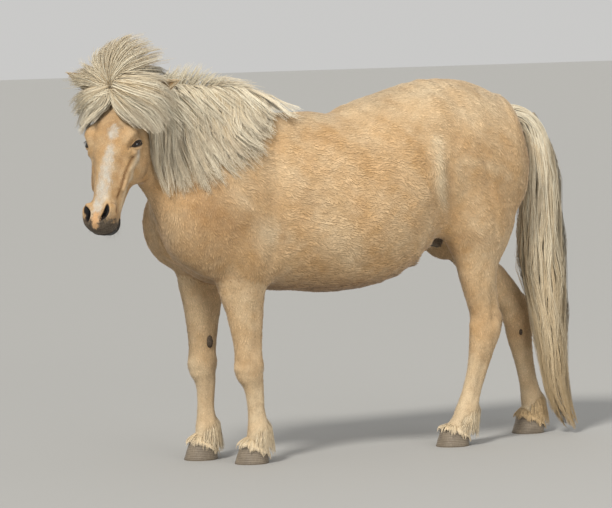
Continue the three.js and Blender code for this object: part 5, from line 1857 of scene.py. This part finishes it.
for name, (limb, side, hoof_x, hoof_y, fetlock_y, _) in LEGS.items():
    count = 700
    turned = uniform(-1, 1, count) * radians(120)
    locks = np.round(turned * 7) / 7
    away = outwards(turned, side)
    away_lock = outwards(locks, side)
    back_share = cos(turned / 2) ** 2
    height = 126 - 38 * abs(turned) / radians(120) - uniform(0, 44, count)
    roots = stack([full(count, side * mix(hoof_x, 98, 0.2)), full(count, fetlock_y), height], 1) / 1000
    roots = lay_on(roots + away * 0.03, limb.form, -0.002)
    low = uniform(9, 26, count) + 22 * (1 - back_share) + 20 * sin(locks * 9) ** 2 * 0.6
    tips = stack([full(count, side * hoof_x), full(count, mix(fetlock_y, hoof_y, 0.55)), low], 1) / 1000
    tips = tips + mix(away, away_lock, 0.55) * ((46 + 12 * maximum(0, cos(turned))
                                               - uniform(0, 9, count)) / 1000)[:, None]
    short = uniform(0.55, 1.0, count)[:, None]
    tips = mix(roots, tips, short)
    path = guides(roots, away + [0, 0, -0.9], tips, tile([0, 0.2, -1.0], (count, 1)), limb.form,
                  uniform(0.002, 0.01, count), points=5)
    hair_piece(f"feather_{name}", (path, away[:, None], tones(0.6, 0.2, count), uniform(0.3, 1, count)), 0.0016,
               LEG_CELLS[name], node=f"{name}_shank", whiteness=[0.35, 0, 0, 0.35], soft=0.4)

    # a fringe over the top of the hoof, all round
    count = 480
    turned = uniform(-pi, pi, count)
    away = outwards(turned)
    top = array([side * hoof_x, hoof_y, 44]) / 1000
    rim = lambda reach, rise: (top + away * np.reshape(reach, (-1, 1))
                               + UP * (rise - 0.36 * reach * away[:, 1])[:, None])
    wild = uniform(0, 1, count) * (0.6 + 0.4 * sin(turned * 9 + 40 * hoof_y / 1000))
    roots = lay_on(rim(0.038, 0.01 + uniform(0, 0.012, count)), limb.form, -0.001)
    path = arc(roots, rim(0.044, 0.003 + 0 * wild), rim(0.047 + 0.003 * wild, -0.006 - 0.016 * wild), 5)
    hair_piece(f"coronet_{name}", (path, away[:, None], tones(0.6, 0.2, count), uniform(0.4, 1, count)), 0.0017,
               LEG_CELLS[name], node=f"{name}_shank", whiteness=[0.4, 0, 0, 0.4], soft=0.5)
report("feather strands:", 4 * 1180)

# %% [markdown]
# ## Ears
# An ear is a rolled leaf: nearly closed at its base, open towards the front and pointed at the tip. A grid is
# curled into that shape, and Solidify makes a real wall of it. Short tufts cover its back, and long pale hair
# spills over its rim.

# %% Curl a grid into an ear
EAR_WIDTHS = [[-0.14, 15], [0.08, 21], [0.28, 26], [0.5, 23.5], [0.7, 17], [0.87, 9], [1.0, 1.2]]


def ear_spot(side, share, across_share):
    """A place on the ear: along it, and from -1 to 1 across from rim to rim."""
    along, opening, across = ear_axes(side)
    shares, widths = array(EAR_WIDTHS).T
    w = interp(share, shares, widths) / 1000
    curl = interp(share, [-0.14, 0.05, 0.2, 0.45, 0.8, 1.0], [2.7, 2.5, 2.1, 1.65, 1.35, 1.2])
    a = across_share * curl
    root = EARS[side][0]
    flat = root + along * (share * EAR_LENGTH)[:, None] + opening * (0.01 * clip(share, 0, 1) ** 2)[:, None]
    return flat + across * (w * sin(a))[:, None] - opening * (0.8 * w * cos(a))[:, None]


def ear_outward(side, share, across_share):
    axis = EARS[side][0] + ear_axes(side)[0] * (share * EAR_LENGTH)[:, None]
    return unit(ear_spot(side, share, across_share) - axis)


for side, label in ((1, "left"), (-1, "right")):
    root, (along, opening, wide_axis) = EARS[side][0], ear_axes(side)
    deselect()
    bpy.ops.mesh.primitive_grid_add(x_subdivisions=18, y_subdivisions=22, size=2, location=(0, 0, 0))
    ear = made(f"ear_shell_{label}")
    flat = points_of(ear.data)
    share = mix(-0.14, 1.0, (flat[:, 1] + 1) / 2)
    put_points(ear.data, ear_spot(side, share, flat[:, 0]))
    if (points_of(ear.data, "normal") * ear_outward(side, share, flat[:, 0])).sum() < 0:
        edit_all(bpy.ops.mesh.flip_normals)
    wall = ear.modifiers.new("wall", "SOLIDIFY")
    wall.thickness, wall.offset = 0.003, -1
    round_off = ear.modifiers.new("round_off", "SUBSURF")
    round_off.levels = round_off.render_levels = 1
    apply_modifiers(ear)
    dress(ear, "coat", f"ear_{label}", paint=skin_paint)
    q = points_of(ear.data) - root
    axis = clip(q @ along, 0, 1)[:, None] * along
    inner = (dot(points_of(ear.data, "normal"), q - axis)[:, 0] < 0).astype(float)
    add_colours(ear.data, "marks", stack([0.15 + 0.35 * inner, 0.15 + 0.25 * inner, 0 * inner, 0 * inner], 1))
    add_colours(ear.data, "strand", [0.45, 0.5, 0.5, 1.0])
    turn_of = arctan2((q - axis) @ wide_axis, -(q - axis) @ opening) / (2 * pi) + 0.5
    ear_cell = (0.02 if side > 0 else 0.32, 0.985, 0.3 if side > 0 else 0.6, 0.999)
    uv = root_map(ear_cell, turn_of, q @ along / EAR_LENGTH * 0.8 + 0.15)
    write_map(ear.data, uv[fetch(ear.data.loops, "vertex_index")])

    # short tufts on its back
    count = 1500
    share, across = uniform(0.0, 0.97, count), uniform(-0.97, 0.97, count)
    spot_on, outward = ear_spot(side, share, across), ear_outward(side, share, across)
    lie = unit(ear_spot(side, share + 0.03, across) - spot_on)
    length = uniform(0.006, 0.01, count) * mix(1.0, 0.7, share)
    paths = wisps(spot_on, lie, length, 0, 3) + outward[:, None] * array([-0.0003, 0.001, 0.0012])[None, :, None]
    ribbon_piece(f"ear_coat_{label}", paths, broadcast_to(outward[:, None], paths.shape),
                 taper(3, count, 0.0018), 0.0003, tone=tones(0.5, 0.15, count), depth=ones(count),
                 marks=tile([0.15, 0.2, 0, 0], (count, 1)), place=root_map(ear_cell, across / 2 + 0.5, share),
                 slot="coat", paint=tuft_paint)

    # long pale hair inside, over the rim
    count = 420
    share = uniform(0.02, 0.85, count)
    across = sign(uniform(-1, 1, count)) * uniform(0.55, 0.97, count)
    outward = ear_outward(side, share, across)
    way = unit(along * uniform(0.6, 1.2, count)[:, None] + opening * uniform(0.3, 0.8, count)[:, None]
               - 0.35 * outward)
    paths = wisps(ear_spot(side, share, across) - 0.003 * outward, way, uniform(0.012, 0.026, count), 0.25 * along, 5)
    hair_piece(f"ear_hair_{label}", (paths, opening, tones(0.6, 0.15, count), 1.0), 0.0012, ear_cell,
               whiteness=[0.5, 0, 0, 0.5])
report("ears ready")

# %% [markdown]
# ## Eyes
# Between the lids little shows but a dark brown iris, with the long level pupil that horses have. Iris and
# pupil are worked out from the angle to the line of sight, so no picture is needed, and a clear coat gives the
# wet gloss.

# %% Eyeballs
eye_paint, shader, place = new_material("wet_eye", 0.12, 0.3)
feed(shader, Coat_Weight=0.3, Coat_Roughness=0.03)
zones, streaks = split(read("zones")["Color"]), noise(place, 900, 3)
iris = blend(remap(streaks, 0.35, 0.65), rgb(0.012, 0.006, 0.003), rgb(0.042, 0.018, 0.008))
white = blend(remap(streaks, 0.4, 0.6), rgb(0.16, 0.11, 0.08), rgb(0.26, 0.2, 0.15))
feed(shader, Base_Color=blend(zones[1], blend(zones[0], white, iris), rgb(0.003, 0.003, 0.004)))
for (centre, (out, corner, brow)), label in zip(EYES, ("left", "right")):
    ball = sphere(f"eyeball_{label}", 56, 36)
    d = unit(points_of(ball.data))
    sight = unit(out + 0.22 * corner - 0.06 * brow)
    level = unit(corner - sight * (corner @ sight))
    angle = np.degrees(np.arccos(clip(d @ sight, -1, 1)))
    radius = EYE_RADIUS - 0.0006 + 0.0009 * ramp(42, 25, angle)
    put_points(ball.data, centre + d * radius[:, None])
    pupil = sqrt((np.degrees(d @ level) / 22) ** 2 + (np.degrees(d @ cross(sight, level)) / 11) ** 2)
    pupil_mask = ramp(1.08, 0.9, pupil) * (d @ sight > 0)
    add_colours(ball.data, "zones", stack([ramp(43, 39, angle), pupil_mask, 0 * angle, 0 * angle + 1], 1))
    dress(ball, "eye", f"eye_{label}", paint=eye_paint)
print("eyeballs of", round(EYE_RADIUS * 2000, 1), "mm")

# %% Lashes along the upper lids, and whiskers on chin and lips
for (centre, (out, corner, brow)), label in zip(EYES, ("left", "right")):
    count = 64
    turned = np.radians(uniform(-46, 50, count))
    height = SLIT_UP * slit(turned) + slit_droop(turned) + uniform(0.0, 0.1, count)
    d = (out * (cos(height) * cos(turned))[:, None] + brow * (sin(height) * cos(turned))[:, None]
         + corner * sin(turned)[:, None])
    way = unit(d + 0.1 * brow + corner * (0.35 * sin(turned))[:, None] + draw.normal(0, 0.07, (count, 3)))
    paths = wisps(centre + d * 0.0185, way, uniform(0.004, 0.008, count), -0.75 * brow + 0.25 * FACE_DOWN, 5)
    hair_piece(f"lashes_{label}", (paths, out, full(count, 0.2), 0.0), 0.0005, HEAD_CELL,
               whiteness=[0, 0, 1.0, 0], thick=0.00025)

count = 46
down = uniform(352, 402, count)
left = uniform(-30, 30, count)
chin = uniform(0, 1, count) < 0.6
spread = where(chin, -70 + 0 * left, -24 + uniform(-10, 10, count))
side_out = where(chin, left * 0.8, sign(left) * 44)
roots = array([on_head(a, b, c) for a, b, c in zip(down, spread, side_out)])
roots = lay_on(roots, skin_form, -0.0005, rounds=6)
normal = slope(roots, head_form)
way = unit(normal + 0.5 * FACE_DOWN + draw.normal(0, 0.12, (count, 3)))
paths = wisps(roots, way, uniform(0.006, 0.015, count), FACE_DOWN * 0.3, 4)
hair_piece("whiskers", (paths, normal[:, None], tones(0.5, 0.2, count), 1.0), 0.0004, HEAD_CELL, thick=0.0002,
           whiteness=[0.2, 0, 0.5, 0])
print("lashes and whiskers:", 220 + count)

# %% [markdown]
# ## Hooves
# A hoof flares towards the ground and carries fine growth rings. Each one starts as a cylinder; bisect cuts
# give it levels, which are moved onto the hoof's own outline, and its top is sliced at the slope of the coronet.

# %% The horn
horn_rings, inp, out = new_group("horn_rings", {"Place": "Vector", "Height": "Float"},
                                 {"Color": "Color", "Ridge": "Float"})
slow = noise(inp["Place"], 30, 3)
rings = sums("SINE", sums("ADD", times(inp["Height"], 1300.0), times(slow, 5.0)))
grain = noise(inp["Place"], 420, 3, stretch=(1.0, 1.0, 0.12))
colour = blend(remap(slow, 0.3, 0.7), rgb(0.15, 0.12, 0.085), rgb(0.27, 0.22, 0.16))
colour = blend(remap(grain, 0.35, 0.7, 0.0, 0.6), colour, rgb(0.13, 0.1, 0.075))
colour = blend(remap(rings, -1.0, 1.0, 0.0, 0.14), colour, rgb(0.4, 0.34, 0.26))
colour = blend(remap(inp["Height"], 0.01, 0.0, 0.0, 0.55), colour, rgb(0.11, 0.085, 0.06))
feed(out, Color=colour, Ridge=sums("ADD", times(rings, 0.5), grain))

horn_paint, shader, place = new_material("hoof_horn", 0.5, 0.4)
horn = use_group(horn_rings, Place=place, Height=split(place, "XYZ")[2])
feed(shader, Base_Color=horn["Color"])
bumped(shader, horn["Ridge"], 0.6, 0.0012)
print("horn ready")

# %% Shape the hooves
HOOF_LEVELS = array([[0, 46, 56, 42, 0], [25, 43, 49, 40, 2], [75, 37, 35, 36, 7]], float)
HOOF_CUTS = (0.0025, 0.007, 0.012, 0.017, 0.022, 0.027, 0.032, 0.037, 0.042, 0.048, 0.054, 0.06)


def hoof_shape(q, side, hoof_x, hoof_y):
    """A unit cylinder's points, moved onto the hoof's outline."""
    turned, z = arctan2(q[:, 0], -q[:, 1]), clip(q[:, 2], 0, 0.075) * 1000
    half, front, behind, shift = (interp(z, HOOF_LEVELS[:, 0], HOOF_LEVELS[:, k]) for k in (1, 2, 3, 4))
    far = minimum(np.hypot(q[:, 0], q[:, 1]), 1)
    groove = 1 - 0.1 * exp(-((abs(turned) - pi) / 0.35) ** 2) * (z < 30)
    ridge = 1 + 0.003 * sin(z * 0.9)
    length = where(cos(turned) > 0, front, behind)
    return stack([side * hoof_x + half * sin(turned) * far * ridge,
                     hoof_y + shift - length * cos(turned) * far * groove * ridge, z], 1) / 1000


for name, (_, side, hoof_x, hoof_y, _, _) in LEGS.items():
    deselect()
    bpy.ops.mesh.primitive_cylinder_add(vertices=56, radius=1, depth=0.07, location=(0, 0, 0.035))
    hoof = made(f"horn_{name}")
    bpy.ops.object.transform_apply(location=True, rotation=True, scale=True)
    edit_all(*(lambda z=z: bpy.ops.mesh.bisect(plane_co=(0, 0, z), plane_no=(0, 0, 1)) for z in HOOF_CUTS))
    q = points_of(hoof.data)
    q[:, :2] *= where(q[:, 2:3] < 0.001, 0.985, 1.0)
    put_points(hoof.data, hoof_shape(q, side, hoof_x, hoof_y))
    top = Vector((side * hoof_x / 1000, hoof_y / 1000, 0.0425))
    edit_all(lambda: bpy.ops.mesh.bisect(plane_co=top, plane_no=Vector((0, 0.36, 1)).normalized(), clear_outer=True,
                                         use_fill=True))
    dress(hoof, "hoof_horn", f"{name}_hoof", paint=horn_paint)
    bpy.ops.object.shade_smooth_by_angle(angle=radians(40))
print("hooves:", len(LEGS))

# %% Chestnuts: small dark horny pads on the inner sides of the legs
chestnut_paint, shader, place = new_material("chestnut_horn", 0.75, 0.25)
crust = noise(place, 380, 4)
feed(shader, Base_Color=blend(remap(crust, 0.35, 0.65), rgb(0.045, 0.032, 0.022), rgb(0.13, 0.1, 0.07)))
bumped(shader, crust, 0.8, 0.001)
for name, spot_at, size in (("fore_left", (60, -300, 335), (5, 9, 17)), ("fore_right", (-62, -350, 335), (5, 9, 17)),
                            ("hind_left", (60, 436, 300), (3, 5, 9)), ("hind_right", (-58, 640, 300), (3, 5, 9))):
    pad = sphere(f"chestnut_{name}", 20, 14)
    q = points_of(pad.data)
    limb = LEGS[name][0]
    at = lay_on(array([spot_at], float) / 1000, limb.form, -0.002, rounds=6)[0]
    rough = 1 + 0.1 * sin(q @ array([9.0, 14, 11])) + 0.06 * sin(q @ array([23.0, -17, 29]))
    put_points(pad.data, at + q * rough[:, None] * array(size) / 1000)
    dress(pad, "hoof_horn", paint=chestnut_paint)
print("chestnuts: 4")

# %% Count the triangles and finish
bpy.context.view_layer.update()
print("triangles of coat and hair:", sum(TOTALS.values()), "largest piece:", max(TOTALS.values()))
report("made in")
